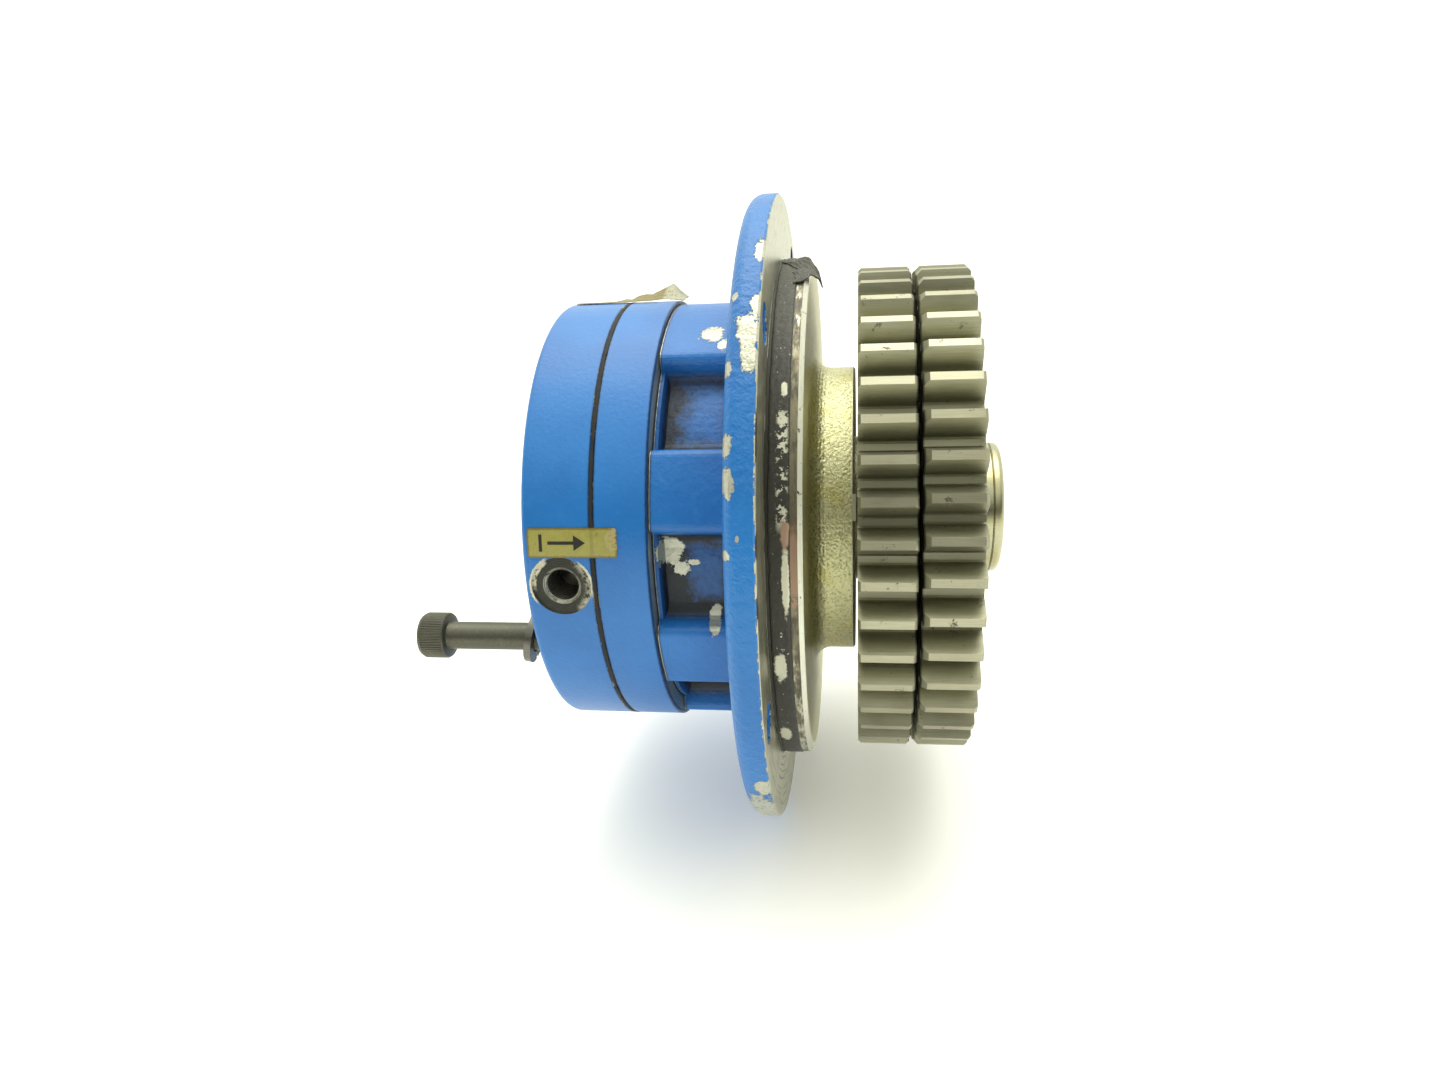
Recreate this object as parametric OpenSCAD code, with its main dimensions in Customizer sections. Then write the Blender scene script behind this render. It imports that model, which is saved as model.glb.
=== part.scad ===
// Single-stage planetary gearbox with a split output pinion.
// Millimetres. The axis is +X, from the motor side to the output gears. +Z is up.
// The origin is the centre of the mounting flange's machined face.
// Angles called "beta" start at -Y (the front) and rise towards +Z.

/* [Housing] */
// Radius of the rear cover and of the ring gear body
case_r = 65.5; // [64.5:0.1:68]
// Rear (motor side) face
rear_x = -65.6; // [-68:0.1:-65]
// Radius over the pads of the ribbed section
pad_r = 64.4; // [63:0.1:65.2]
// Pad width
pad_w = 22; // [18:0.5:24]
// Radius of the pocket floors
floor_r = 56; // [54:0.5:57]
// Radius of the snout around the output seal
snout_r = 44; // [42:0.5:46]
// End face of the snout
snout_x = 21.5; // [20:0.1:21.8]

/* [Mounting flange] */
// Flange radius
flange_r = 95; // [93:0.5:105]
// Flange thickness
flange_t = 8; // [7:0.5:9]
// Pilot radius
pilot_r = 76; // [74:0.5:78]
// Pilot length
pilot_x = 9.2; // [8.8:0.1:11]
// Radius of the flange bolt circle
flange_bolt_r = 85; // [84:0.5:86]
// Flange bolt hole radius
flange_hole_r = 5.5; // [4.5:0.1:5.5]
// Number of flange bolt holes
flange_hole_n = 5; // [3:1:8]
// Beta of the first flange bolt hole
flange_hole_beta = -21.8; // [-30:0.1:0]

/* [Output gears] */
// Teeth on each output gear
out_teeth = 44; // [43:1:45]
// Output gear module
out_mod = 3.175; // [3.1:0.005:3.2]
// Turn of the outer gear against the inner one
split_turn = 0.75; // [0:0.05:2]
// Output shaft radius under the gears
shaft_r = 20; // [19.5:0.1:20]

/* [Gear train] */
// Sun teeth
sun_teeth = 21; // [21]
// Planet teeth
planet_teeth = 21; // [21]
// Ring teeth
ring_teeth = 63; // [63]
// Gear train module
train_mod = 1.5; // [1.5]
// Motor shaft bore radius
input_bore_r = 9.5; // [7:0.5:9.5]

/* [Ports and labels] */
// Axial position of both oil ports
port_x = -55.5; // [-56:0.1:-55]
// Minor radius of the port thread
port_r = 4.3; // [4:0.1:4.5]
// Beta of the outlet port
out_port_beta = 0; // [0]
// Beta of the inlet port
in_port_beta = 135; // [135]

/* [Hidden] */
$fn = 96;
// axial stations
cover_end = -46.7;
ring_start = -45.9;
ring_end = -31.5;
drum_start = -31.1;
cavity_x = -50.2;
// screws
screw_n = 8;
screw_circle_r = 56;
cbore_r = 7.5;
cbore_x = -55;
screw_clear_r = 4.5;
m8_r = 4;
m8_head_r = 6.5;
m8_len = 50;
washer_t = 2;
loose_k = 7;
loose_under_head = -95.3;
loose_washer_x = -69.9;
// gear train
sun_pitch_r = sun_teeth * train_mod / 2;
planet_pitch_r = planet_teeth * train_mod / 2;
centre_r = sun_pitch_r + planet_pitch_r;
planet_n = 3;
first_planet_beta = 90;
planet_x0 = -44.3;
planet_x1 = -32.3;
tooth_thin = 0.10;
pin_r = 5;
bush_r = 7;
plate_x0 = -49.6;
plate_x1 = -45.6;
disc_x0 = -31;
disc_x1 = -25.2;
disc_r = 45;
post_circle_r = 34;
post_r = 7;
// output gears
in_gear_x = [22.4, 37.2];
out_gear_x = [38.5, 53.7];
in_gear_beta = 19.3;
clamp_circle_r = 40;
clamp_n = 6;
clamp_floor_x = 45.7;
motor_circle_r = 50;

// ---------- helpers ----------

// Points of an arc, for profiles and sections.
function arc(cx, cy, r, a0, a1, n) =
  [for (i = [0:n]) let (a = a0 + (a1 - a0) * i / n) [cx + r * cos(a), cy + r * sin(a)]];

// Involute function in degrees.
function inv(a) = tan(a) * 180 / PI - a;

// Half the angle of a tooth at radius r.
function half_tooth(teeth, mod, thin, r) =
  let (rp = teeth * mod / 2, rb = rp * cos(20), thick = PI * mod / 2 - thin)
  thick / rp * 90 / PI + inv(20) - inv(acos(min(1, rb / r)));

// One flank from the root to the tip as [radius, half angle] pairs.
function flank(teeth, mod, thin, ra, rf, n) =
  let (
    rb = teeth * mod / 2 * cos(20),
    rs = max(rb, rf + 0.3 * mod),
    hs = half_tooth(teeth, mod, thin, rs),
    root = 0.22 * mod / rf * 180 / PI
  )
  concat(
    [[rf, min(hs + root, 180 / teeth - 0.05)], [rf + 0.12 * mod, hs + root * 0.3]],
    [for (i = [0:n]) let (r = rs + (ra - rs) * i / n) [r, half_tooth(teeth, mod, thin, r)]]
  );

function polar(r, a) = [r * cos(a), r * sin(a)];

// Outline of a spur gear with a tooth centred on angle 0.
function gear_points(teeth, mod, thin, ra, rf, n) =
  let (f = flank(teeth, mod, thin, ra, rf, n), last = len(f) - 1)
  [for (k = [0:teeth - 1]) each concat(
    [for (i = [0:last]) polar(f[i][0], k * 360 / teeth - f[i][1])],
    [for (i = [last:-1:0]) polar(f[i][0], k * 360 / teeth + f[i][1])]
  )];

// Stands local +Z along the gearbox axis.
module along_axis(x = 0) {
  translate([x, 0, 0]) rotate([0, 90, 0]) children();
}

// Inside along_axis: turns local +X to an angle beta and moves out by r.
module at_beta(beta, r = 0) {
  rotate([0, 0, -90 - beta]) translate([r, 0, 0]) children();
}

// Solid of revolution from [radius, x] points.
module turned(points) {
  along_axis() rotate_extrude() polygon(points);
}

// Cylinder along the axis from x0 to x1, at beta and radius.
module rod(x0, x1, r, beta = 0, circle_r = 0) {
  along_axis() at_beta(beta, circle_r) translate([0, 0, x0]) cylinder(h = x1 - x0, r = r);
}

// Ring along the axis.
module ring(x0, x1, r_in, r_out) {
  turned([[r_in, x0], [r_out, x0], [r_out, x1], [r_in, x1]]);
}

// Cylinder pointing outwards at beta, from radius r0 to r1.
module radial_rod(x, beta, r0, r1, r) {
  along_axis(x) at_beta(beta, r0) rotate([0, 90, 0]) cylinder(h = r1 - r0, r = r);
}

module rounded_rect(w, h, r) {
  polygon(concat(
    arc(w / 2 - r, h / 2 - r, r, 0, 90, 6),
    arc(r - w / 2, h / 2 - r, r, 90, 180, 6),
    arc(r - w / 2, r - h / 2, r, 180, 270, 6),
    arc(w / 2 - r, r - h / 2, r, 270, 360, 6)
  ));
}

function screw_beta(k) = 22.5 + k * 360 / screw_n;

module at_screws(count = screw_n) {
  for (k = [0:count - 1]) along_axis() at_beta(screw_beta(k), screw_circle_r) children();
}

// Socket head cap screw: the head's underside is at local z = 0 and the shank runs to +z.
module cap_screw(r, len, head_r, head_h, socket_r) {
  difference() {
    union() {
      translate([0, 0, -head_h]) cylinder(h = head_h * 0.12, r1 = head_r * 0.9, r2 = head_r);
      translate([0, 0, -head_h * 0.88]) cylinder(h = head_h * 0.88, r = head_r);
      cylinder(h = len - r * 0.25, r = r);
      translate([0, 0, len - r * 0.25]) cylinder(h = r * 0.25, r1 = r, r2 = r * 0.78);
    }
    translate([0, 0, -head_h - 0.01]) cylinder(h = head_h * 0.5, r = socket_r, $fn = 6);
  }
}

// Split spring washer from local z = 0 to t.
module lock_washer(r_in, r_out, t) {
  difference() {
    cylinder(h = t, r = r_out);
    translate([0, 0, -1]) cylinder(h = t + 2, r = r_in);
    translate([r_in - 2, -0.7, -1]) rotate([0, 0, 12]) cube([r_out - r_in + 4, 1.4, t + 2]);
  }
}

// ---------- housing ----------

module motor_holes() {
  for (b = [0:90:270]) rod(rear_x - 1, -54, 2.5, b, motor_circle_r);
}

// Threaded port, its spot face, and the oil way to the cavity.
module port(beta) {
  radial_rod(port_x, beta, 54, 70, port_r);
  radial_rod(port_x, beta, 64.75, 70, 8.2);
  along_axis(port_x) at_beta(beta, 63.85) rotate([0, 90, 0]) cylinder(h = 0.95, r1 = port_r, r2 = 5.25);
  rod(port_x, cover_end + 1, 2, beta, 57.5);
  along_axis(cover_end - 2) at_beta(beta, 44) translate([0, -2, 0]) cube([13.5, 4, 3]);
}

module rear_cover() {
  color("RoyalBlue") difference() {
    turned(concat(
      [[40, rear_x]],
      arc(case_r - 1.6, rear_x + 1.6, 1.6, -90, 0, 6),
      [[case_r, cover_end - 0.4], [case_r - 0.4, cover_end], [46, cover_end], [46, cavity_x],
       [23.51, cavity_x], [23.51, -57.6], [20.75, -57.6], [20.75, -59], [25.01, -59],
       [25.01, -63], [40, -63]]
    ));
    motor_holes();
    at_screws() {
      translate([0, 0, rear_x - 1]) cylinder(h = cbore_x - rear_x + 1, r = cbore_r);
      translate([0, 0, rear_x]) cylinder(h = 30, r = screw_clear_r);
    }
    port(out_port_beta);
    port(in_port_beta);
  }
}

// Flat gasket with the eight screw holes.
module gasket(x0, x1, r_in, r_out) {
  difference() {
    ring(x0, x1, r_in, r_out);
    at_screws() translate([0, 0, x0 - 1]) cylinder(h = 3, r = screw_clear_r);
  }
}

module cover_gasket() {
  color("Black") gasket(cover_end, ring_start, 50, case_r - 0.3);
}

module housing_gasket() {
  color("Black") gasket(ring_end, drum_start, 50, 60.3);
}

module ring_gear() {
  color("RoyalBlue") difference() {
    turned([
      [30, ring_start], [case_r - 0.4, ring_start], [case_r, ring_start + 0.4],
      [case_r, ring_end - 0.4], [case_r - 0.4, ring_end], [30, ring_end]
    ]);
    along_axis(ring_start - 1) at_beta(first_planet_beta) rotate([0, 0, 180 / ring_teeth])
      linear_extrude(height = ring_end - ring_start + 2)
        polygon(gear_points(ring_teeth, train_mod, -tooth_thin,
          ring_teeth * train_mod / 2 + 1.25 * train_mod, (ring_teeth / 2 - 1) * train_mod, 5));
    at_screws() translate([0, 0, ring_start - 1]) cylinder(h = 20, r = screw_clear_r);
  }
}

// Section of the ribbed drum: eight pads with rounded shoulders and filleted pockets.
pad_shoulder = 2.6;
pad_root = 4.5;
function pad_half() =
  let (
    h = pad_w / 2,
    sx = h - pad_shoulder,
    sy = sqrt(pow(pad_r - pad_shoulder, 2) - sx * sx),
    fx = h + pad_root,
    fy = sqrt(pow(floor_r + pad_root, 2) - fx * fx),
    top_a = atan2(sx, sy),
    root_a = atan2(fx, fy)
  )
  concat(
    [for (i = [0:5]) polar(pad_r, 90 - top_a * i / 5)],
    arc(sx, sy, pad_shoulder, 90 - top_a, 0, 5),
    arc(fx, fy, pad_root, 180, 270 - root_a, 5),
    [for (i = [1:3]) polar(floor_r, 90 - root_a - (180 / screw_n - root_a) * i / 3)]
  );

function spin(p, a) = [p[0] * cos(a) - p[1] * sin(a), p[0] * sin(a) + p[1] * cos(a)];

// Pads 1 and 2 run together over the top.
function drum_points() =
  let (half = pad_half(), wide = [for (i = [0:8]) polar(pad_r, 90 - i * 22.5 / 8)])
  [for (k = [0:screw_n - 1]) let (a = k == 2 ? wide : half, b = k == 1 ? wide : half) each concat(
    [for (i = [len(a) - 2:-1:1]) spin([-a[i][0], a[i][1]], -k * 360 / screw_n)],
    [for (i = [0:len(b) - 1]) spin(b[i], -k * 360 / screw_n)]
  )];

module flange_outer() {
  turned(concat(
    [[0, drum_start], [60, drum_start], [60, drum_start + 1.1], [56.6, drum_start + 2.2],
     [52, drum_start + 2.4], [52, -15.2], [55.4, -15]],
    arc(61.7, -14, 6, 180, 90, 7),
    arc(flange_r - 4, 4 - flange_t, 4, -90, 0, 8),
    [[flange_r, -0.6], [flange_r - 0.6, 0], [pilot_r + 0.4, 0], [pilot_r + 0.4, -0.4],
     [pilot_r, -0.4], [pilot_r, 1.8], [pilot_r - 2.6, 1.8], [pilot_r - 2.6, 5.4],
     [pilot_r, 5.4], [pilot_r, pilot_x - 1.2], [pilot_r - 1.2, pilot_x]],
    arc(snout_r + 5, pilot_x + 5, 5, -90, -180, 8),
    [[snout_r, snout_x - 0.6], [snout_r - 0.6, snout_x], [0, snout_x]]
  ));
}

// Lock tab on the end of the snout.
module snout_tab() {
  along_axis(snout_x - 0.6) at_beta(18.4, 40.5) translate([0, -3.7, 0]) cube([3.9, 7.4, 1]);
}

module flange_housing() {
  color("RoyalBlue") difference() {
    union() {
      flange_outer();
      along_axis(drum_start) at_beta(22.5) rotate([0, 0, -90])
        linear_extrude(height = -5 - drum_start) polygon(drum_points());
      snout_tab();
    }
    turned([
      [0, drum_start - 1], [48.5, drum_start - 1], [48.5, -24.6], [47.51, -24.6], [47.51, -6.5],
      [34, -6.5], [34, -2.6], [37.51, -2.6], [37.51, snout_x + 1], [0, snout_x + 1]
    ]);
    at_screws() translate([0, 0, drum_start - 1]) cylinder(h = 27.7, r = m8_r + 0.02);
    for (k = [0:flange_hole_n - 1])
      rod(-flange_t - 1, 1, flange_hole_r, flange_hole_beta + k * 360 / flange_hole_n, flange_bolt_r);
  }
}

module pilot_o_ring() {
  color("Black") turned(arc(pilot_r - 1.35, 3.6, 1.21, 0, 345, 23));
}

// Smeared band of sealant round the pilot, with a torn rag on top and a flap over the front edge.
module torn_sealant() {
  color("Black") union() {
    turned([[pilot_r + 0.03, 0.6], [pilot_r + 0.24, 0.6], [pilot_r + 0.28, 6.1], [pilot_r + 0.03, 6.1]]);
    along_axis() rotate([0, 0, -178]) rotate_extrude(angle = 16)
      polygon([[76.06, 5.2], [76.31, 5.4], [76.33, 8.5], [76.1, 8.4], [76.03, 8]]);
    along_axis() rotate([0, 0, -174]) rotate_extrude(angle = 9)
      polygon([[76.12, 7.9], [76.32, 7.9], [76.28, 10.2], [75.6, 11.4], [74.2, 12.2],
               [73.6, 11.7], [74.4, 10.8], [75.25, 9.5]]);
  }
}

module housing_screws() {
  color("DimGray") at_screws(loose_k) translate([0, 0, cbore_x - washer_t])
    cap_screw(m8_r, m8_len, m8_head_r, 8, 3.46);
}

module housing_lock_washers() {
  color("Gray") at_screws(loose_k) translate([0, 0, cbore_x - washer_t])
    lock_washer(4.1, 7.3, washer_t);
}

module loose_screw() {
  color("DimGray") along_axis(loose_under_head) at_beta(screw_beta(loose_k), screw_circle_r)
    cap_screw(m8_r, m8_len, m8_head_r, 8, 3.46);
}

module loose_lock_washer() {
  b = screw_beta(loose_k);
  color("Gray") translate([loose_washer_x, -screw_circle_r * cos(b), screw_circle_r * sin(b)])
    rotate([0, 101, 0]) translate([0, 0, -washer_t / 2]) lock_washer(4.34, 7.4, washer_t);
}

module inlet_plug() {
  color("WhiteSmoke") difference() {
    union() {
      radial_rod(port_x, in_port_beta, 56, 65, port_r - 0.02);
      radial_rod(port_x, in_port_beta, 64.76, 67.2, 7.2);
      along_axis(port_x) at_beta(in_port_beta, 67.2) rotate([0, 90, 0]) cylinder(h = 1, r1 = 7.2, r2 = 5.8);
    }
    along_axis(port_x) at_beta(in_port_beta, 67.4) translate([0, -0.8, -8]) cube([3, 1.6, 16]);
  }
}

// Label of the given length and width, wrapped on the case between two betas.
module outlet_label() {
  x0 = -63.8;
  x1 = -39.5;
  color("Gold") intersection() {
    along_axis() rotate([0, 0, -90 - 14.2]) rotate_extrude(angle = 7.2)
      translate([case_r, x0]) square([0.22, x1 - x0]);
    along_axis((x0 + x1) / 2) at_beta(10.6, case_r - 4) rotate([0, 90, 0])
      linear_extrude(height = 8) rounded_rect(x1 - x0, 8, 1);
  }
}

// The second label lies flat at its rear end, and its front end has peeled up and folded.
module inlet_label() {
  top = [[-63.5, 0.36], [-53, 0.4], [-48, 0.85], [-43, 2.15], [-38, 3.6], [-34, 5.2], [-29.6, 0.9]];
  under = [[-29.9, 0.75], [-34, 4.75], [-38, 3.3], [-43, 1.85], [-48, 0.55], [-53, 0.14], [-63.5, 0.1]];
  color("Goldenrod") rotate([-5, 0, 0]) translate([0, 4, case_r])
    rotate([90, 0, 0]) linear_extrude(height = 8) polygon(concat(top, under));
}

// ---------- bearings ----------

// Race with its groove on the side away from r_edge. side is 1 for an outer race, -1 for an inner one.
module race(x0, x1, r_p, r_b, r_edge, side) {
  xm = (x0 + x1) / 2;
  groove = r_b + 0.15;
  land = r_p + side * 0.55 * r_b;
  a = acos(0.55 * r_b / groove);
  groove_points = [for (i = [0:12]) let (t = a - 2 * a * i / 12)
    [r_p + side * groove * cos(t), xm + groove * sin(t)]];
  turned(concat([[land, x0], [r_edge, x0], [r_edge, x1], [land, x1]], groove_points));
}

module balls(x, r_p, r_b, n) {
  for (k = [0:n - 1]) along_axis(x) rotate([0, 0, k * 360 / n]) translate([r_p, 0, 0]) sphere(r = r_b);
}

module ball_cage(x, r_p, r_b, n) {
  w = r_b * 1.24;
  difference() {
    ring(x - w, x + w, r_p - 0.24 * r_b, r_p + 0.24 * r_b);
    for (k = [0:n - 1]) along_axis(x) rotate([0, 0, k * 360 / n])
      translate([r_p - r_b, 0, 0]) rotate([0, 90, 0]) cylinder(h = 2 * r_b, r = r_b + 0.06);
  }
}

in_brg = [-57.6, -50.6, 20.5, 2];
rear_brg = [-24.5, -6.5, 38.75, 5.5];
front_brg = [-2.6, 13.4, 30, 4.75];

function mid(b) = (b[0] + b[1]) / 2;

module input_bearing_outer() {
  color("Silver") race(in_brg[0], in_brg[1], in_brg[2], in_brg[3], 23.5, 1);
}

module input_bearing_inner() {
  color("Silver") race(in_brg[0], in_brg[1], in_brg[2], in_brg[3], 17.51, -1);
}

module input_bearing_balls() {
  color("Silver") balls(mid(in_brg), in_brg[2], in_brg[3], 18);
}

module input_bearing_cage() {
  color("Peru") ball_cage(mid(in_brg), in_brg[2], in_brg[3], 18);
}

module rear_bearing_outer() {
  color("Silver") race(rear_brg[0], rear_brg[1], rear_brg[2], rear_brg[3], 47.5, 1);
}

module rear_bearing_inner() {
  color("Silver") race(rear_brg[0], rear_brg[1], rear_brg[2], rear_brg[3], 30.01, -1);
}

module rear_bearing_balls() {
  color("Silver") balls(mid(rear_brg), rear_brg[2], rear_brg[3], 14);
}

module rear_bearing_cage() {
  color("Peru") ball_cage(mid(rear_brg), rear_brg[2], rear_brg[3], 14);
}

module front_bearing_outer() {
  color("Silver") race(front_brg[0], front_brg[1], front_brg[2], front_brg[3], 37.5, 1);
}

module front_bearing_inner() {
  color("Silver") race(front_brg[0], front_brg[1], front_brg[2], front_brg[3], 22.51, -1);
}

module front_bearing_balls() {
  color("Silver") balls(mid(front_brg), front_brg[2], front_brg[3], 12);
}

module front_bearing_cage() {
  color("Peru") ball_cage(mid(front_brg), front_brg[2], front_brg[3], 12);
}

// ---------- seals ----------

module input_seal() {
  color("SaddleBrown") turned([
    [17.56, -61.4], [18.6, -62.6], [20.4, -62.9], [25, -62.9], [25, -59.1], [23, -59.1],
    [23, -61.6], [19.6, -61.4], [18.4, -60.2], [17.9, -60.4]
  ]);
}

module output_seal() {
  color("SaddleBrown") turned([
    [22.56, 17.2], [23.6, 19.6], [25.4, 20.9], [37.5, 20.9], [37.5, 13.7], [35.6, 13.7],
    [35.6, 18.6], [26.4, 18.6], [24.8, 16.2], [23.2, 16.4]
  ]);
}

// ---------- gear train ----------

module input_circlip() {
  color("Gray") along_axis(-58.9) difference() {
    cylinder(h = 1.2, r = 19.8);
    translate([0, 0, -1]) cylinder(h = 3, r = 16.6);
    translate([10, -3, -1]) cube([12, 6, 3]);
  }
}

// Spur gear solid between x0 and x1, with a tooth (or a gap) towards beta.
module gear_solid(x0, x1, teeth, mod, beta, n, on_gap = false) {
  rp = teeth * mod / 2;
  along_axis(x0) at_beta(beta) rotate([0, 0, on_gap ? 180 / teeth : 0])
    linear_extrude(height = x1 - x0)
      polygon(gear_points(teeth, mod, tooth_thin, rp + mod, rp - 1.25 * mod, n));
}

module sun_gear() {
  color("LightSteelBlue") difference() {
    union() {
      gear_solid(planet_x0, planet_x1, sun_teeth, train_mod, first_planet_beta, 5, true);
      turned([
        [5, -62.8], [16.9, -62.8], [17.5, -62.2], [17.5, -58.9], [16.6, -58.9], [16.6, -57.7],
        [17.5, -57.7], [17.5, -50.6], [18.8, -50.6], [18.8, -49], [16, -48.6],
        [13.6, planet_x0 - 1], [13.6, planet_x0 + 2], [5, planet_x0 + 2]
      ]);
    }
    rod(-66, -30, input_bore_r + 0.01);
    along_axis(-66) at_beta(first_planet_beta + 180 / sun_teeth) translate([0, -3, 0]) cube([11.8, 6, 40]);
  }
}

function planet_beta(k) = first_planet_beta + k * 360 / planet_n;

module at_planet(k) {
  along_axis() at_beta(planet_beta(k), centre_r) children();
}

module planet_gear(k) {
  rp = planet_pitch_r;
  color("LightSteelBlue") at_planet(k) translate([0, 0, planet_x0]) difference() {
    rotate([0, 0, 180]) linear_extrude(height = planet_x1 - planet_x0)
      polygon(gear_points(planet_teeth, train_mod, tooth_thin, rp + train_mod, rp - 1.25 * train_mod, 5));
    translate([0, 0, -1]) cylinder(h = 20, r = bush_r + 0.01);
  }
}

module planet_bush(k) {
  color("Peru") at_planet(k) translate([0, 0, planet_x0]) difference() {
    cylinder(h = planet_x1 - planet_x0, r = bush_r);
    translate([0, 0, -1]) cylinder(h = 20, r = pin_r + 0.05);
  }
}

module planet_pins() {
  color("Silver") for (k = [0:planet_n - 1]) at_planet(k)
    translate([0, 0, plate_x0]) cylinder(h = disc_x1 - plate_x0, r = pin_r);
}

module thrust_washer() {
  difference() {
    cylinder(h = 1, r = 9);
    translate([0, 0, -1]) cylinder(h = 3, r = pin_r + 0.02);
  }
}

module planet_thrust_washers() {
  color("Peru") for (k = [0:planet_n - 1]) at_planet(k) {
    translate([0, 0, plate_x1]) thrust_washer();
    translate([0, 0, disc_x0 - 1]) thrust_washer();
  }
}

module at_posts() {
  for (k = [0:planet_n - 1]) along_axis() at_beta(planet_beta(k) + 60, post_circle_r) children();
}

module pin_holes(x0, x1) {
  for (k = [0:planet_n - 1]) at_planet(k) translate([0, 0, x0]) cylinder(h = x1 - x0, r = pin_r + 0.01);
}

module carrier_plate() {
  color("Gray") difference() {
    ring(plate_x0, plate_x1, 20.5, 44);
    pin_holes(plate_x0 - 1, plate_x1 + 1);
    at_posts() {
      translate([0, 0, plate_x0 - 1]) cylinder(h = 8, r = 2.52);
      translate([0, 0, plate_x0]) cylinder(h = 2.6, r1 = 5.12, r2 = 2.52);
      translate([0, 0, plate_x0 - 1]) cylinder(h = 1, r = 5.12);
    }
  }
}

module carrier_screws() {
  color("DimGray") at_posts() difference() {
    union() {
      translate([0, 0, plate_x0]) cylinder(h = 2.6, r1 = 5.1, r2 = 2.5);
      translate([0, 0, plate_x0 + 2.6]) cylinder(h = 10.4, r = 2.5);
    }
    translate([0, 0, plate_x0 - 0.01]) cylinder(h = 1.9, r = 1.73, $fn = 6);
  }
}

module output_carrier() {
  color("Silver") difference() {
    union() {
      turned(concat(
        [[0, -11], [12, -12], [12, disc_x0], [disc_r, disc_x0], [disc_r, disc_x1], [34, disc_x1],
         [34, -24.5], [30, -24.5], [30, -6.5], [28, -6.5], [28, -2.6], [22.5, -2.6],
         [22.5, in_gear_x[0]], [shaft_r, in_gear_x[0]], [shaft_r, 53.75], [18.75, 53.75],
         [18.75, 55.6], [shaft_r, 55.6], [shaft_r, 61.4], [shaft_r - 0.35, 61.7], [shaft_r, 62]],
        arc(shaft_r - 1.8, 62.9, 1.8, 0, 90, 6),
        [[6.2, 64.7], [5.1, 63.6], [5.1, 41], [0, 39]]
      ));
      at_posts() translate([0, 0, plate_x1]) cylinder(h = disc_x0 - plate_x1 + 1, r = post_r);
    }
    pin_holes(disc_x0 - 1, disc_x1 + 1);
    at_posts() translate([0, 0, plate_x1 - 1]) cylinder(h = 11, r = 2.52);
    along_axis(24) at_beta(90, 15) translate([0, -6, 0]) cube([10, 12, 28]);
  }
}

// ---------- output gears ----------

gear_tip_r = (out_teeth / 2 + 1) * out_mod;

// Output gear with chamfered tooth ends and thinned web faces.
module output_gear(span, beta, chamfer_0, chamfer_1) {
  intersection() {
    gear_solid(span[0], span[1], out_teeth, out_mod, beta, 7);
    turned([
      [shaft_r + 0.01, span[0]], [31, span[0]], [32, span[0] + 2], [57, span[0] + 2],
      [58, span[0]], [gear_tip_r - chamfer_0, span[0]], [gear_tip_r + 0.3, span[0] + chamfer_0 + 0.3],
      [gear_tip_r + 0.3, span[1] - chamfer_1 - 0.3], [gear_tip_r - chamfer_1, span[1]],
      [58, span[1]], [57, span[1] - 2], [32, span[1] - 2], [31, span[1]], [shaft_r + 0.01, span[1]]
    ]);
  }
}

module key_slot(x0, x1) {
  along_axis(x0) at_beta(90, 15) translate([0, -6.01, 0]) cube([8.3, 12.02, x1 - x0]);
}

module at_clamps() {
  for (k = [0:clamp_n - 1]) along_axis() at_beta(k * 360 / clamp_n, clamp_circle_r) children();
}

module output_gear_inner() {
  color("RosyBrown") difference() {
    output_gear(in_gear_x, in_gear_beta, 0.8, 0.8);
    key_slot(20, 40);
    at_clamps() translate([0, 0, 20]) cylinder(h = 30, r = 3.02);
  }
}

module output_gear_outer() {
  color("RosyBrown") difference() {
    output_gear(out_gear_x, in_gear_beta + split_turn, 1.6, 0.8);
    key_slot(37, 55);
    for (turn = [-2, 0, 2]) rotate([turn, 0, 0]) at_clamps() translate([0, 0, 37]) cylinder(h = 20, r = 3.5);
    for (turn = [-2, 0, 2]) rotate([turn, 0, 0])
      at_clamps() translate([0, 0, clamp_floor_x]) cylinder(h = 20, r = 5.8);
  }
}

module gear_shim() {
  color("DimGray") ring(in_gear_x[1], out_gear_x[0], 24, 30.5);
}

module gear_key() {
  color("Silver") along_axis(24) at_beta(90, 15) translate([0, -6, 0]) cube([8, 12, 28]);
}

module gear_clamp_screws() {
  color("DimGray") at_clamps() translate([0, 0, clamp_floor_x + 1]) rotate([0, 0, 30])
    mirror([0, 0, 1]) cap_screw(3, 22, 5, 6, 2.88);
}

module gear_clamp_washers() {
  color("Silver") at_clamps() translate([0, 0, clamp_floor_x]) difference() {
    cylinder(h = 1, r = 5.6);
    translate([0, 0, -1]) cylinder(h = 3, r = 3.1);
  }
}

module gear_circlip() {
  color("Gray") along_axis(53.8) difference() {
    cylinder(h = 1.75, r = 24.6);
    translate([0, 0, -1]) cylinder(h = 4, r = 18.8);
    translate([12, -4, -1]) cube([16, 8, 4]);
  }
}

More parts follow.
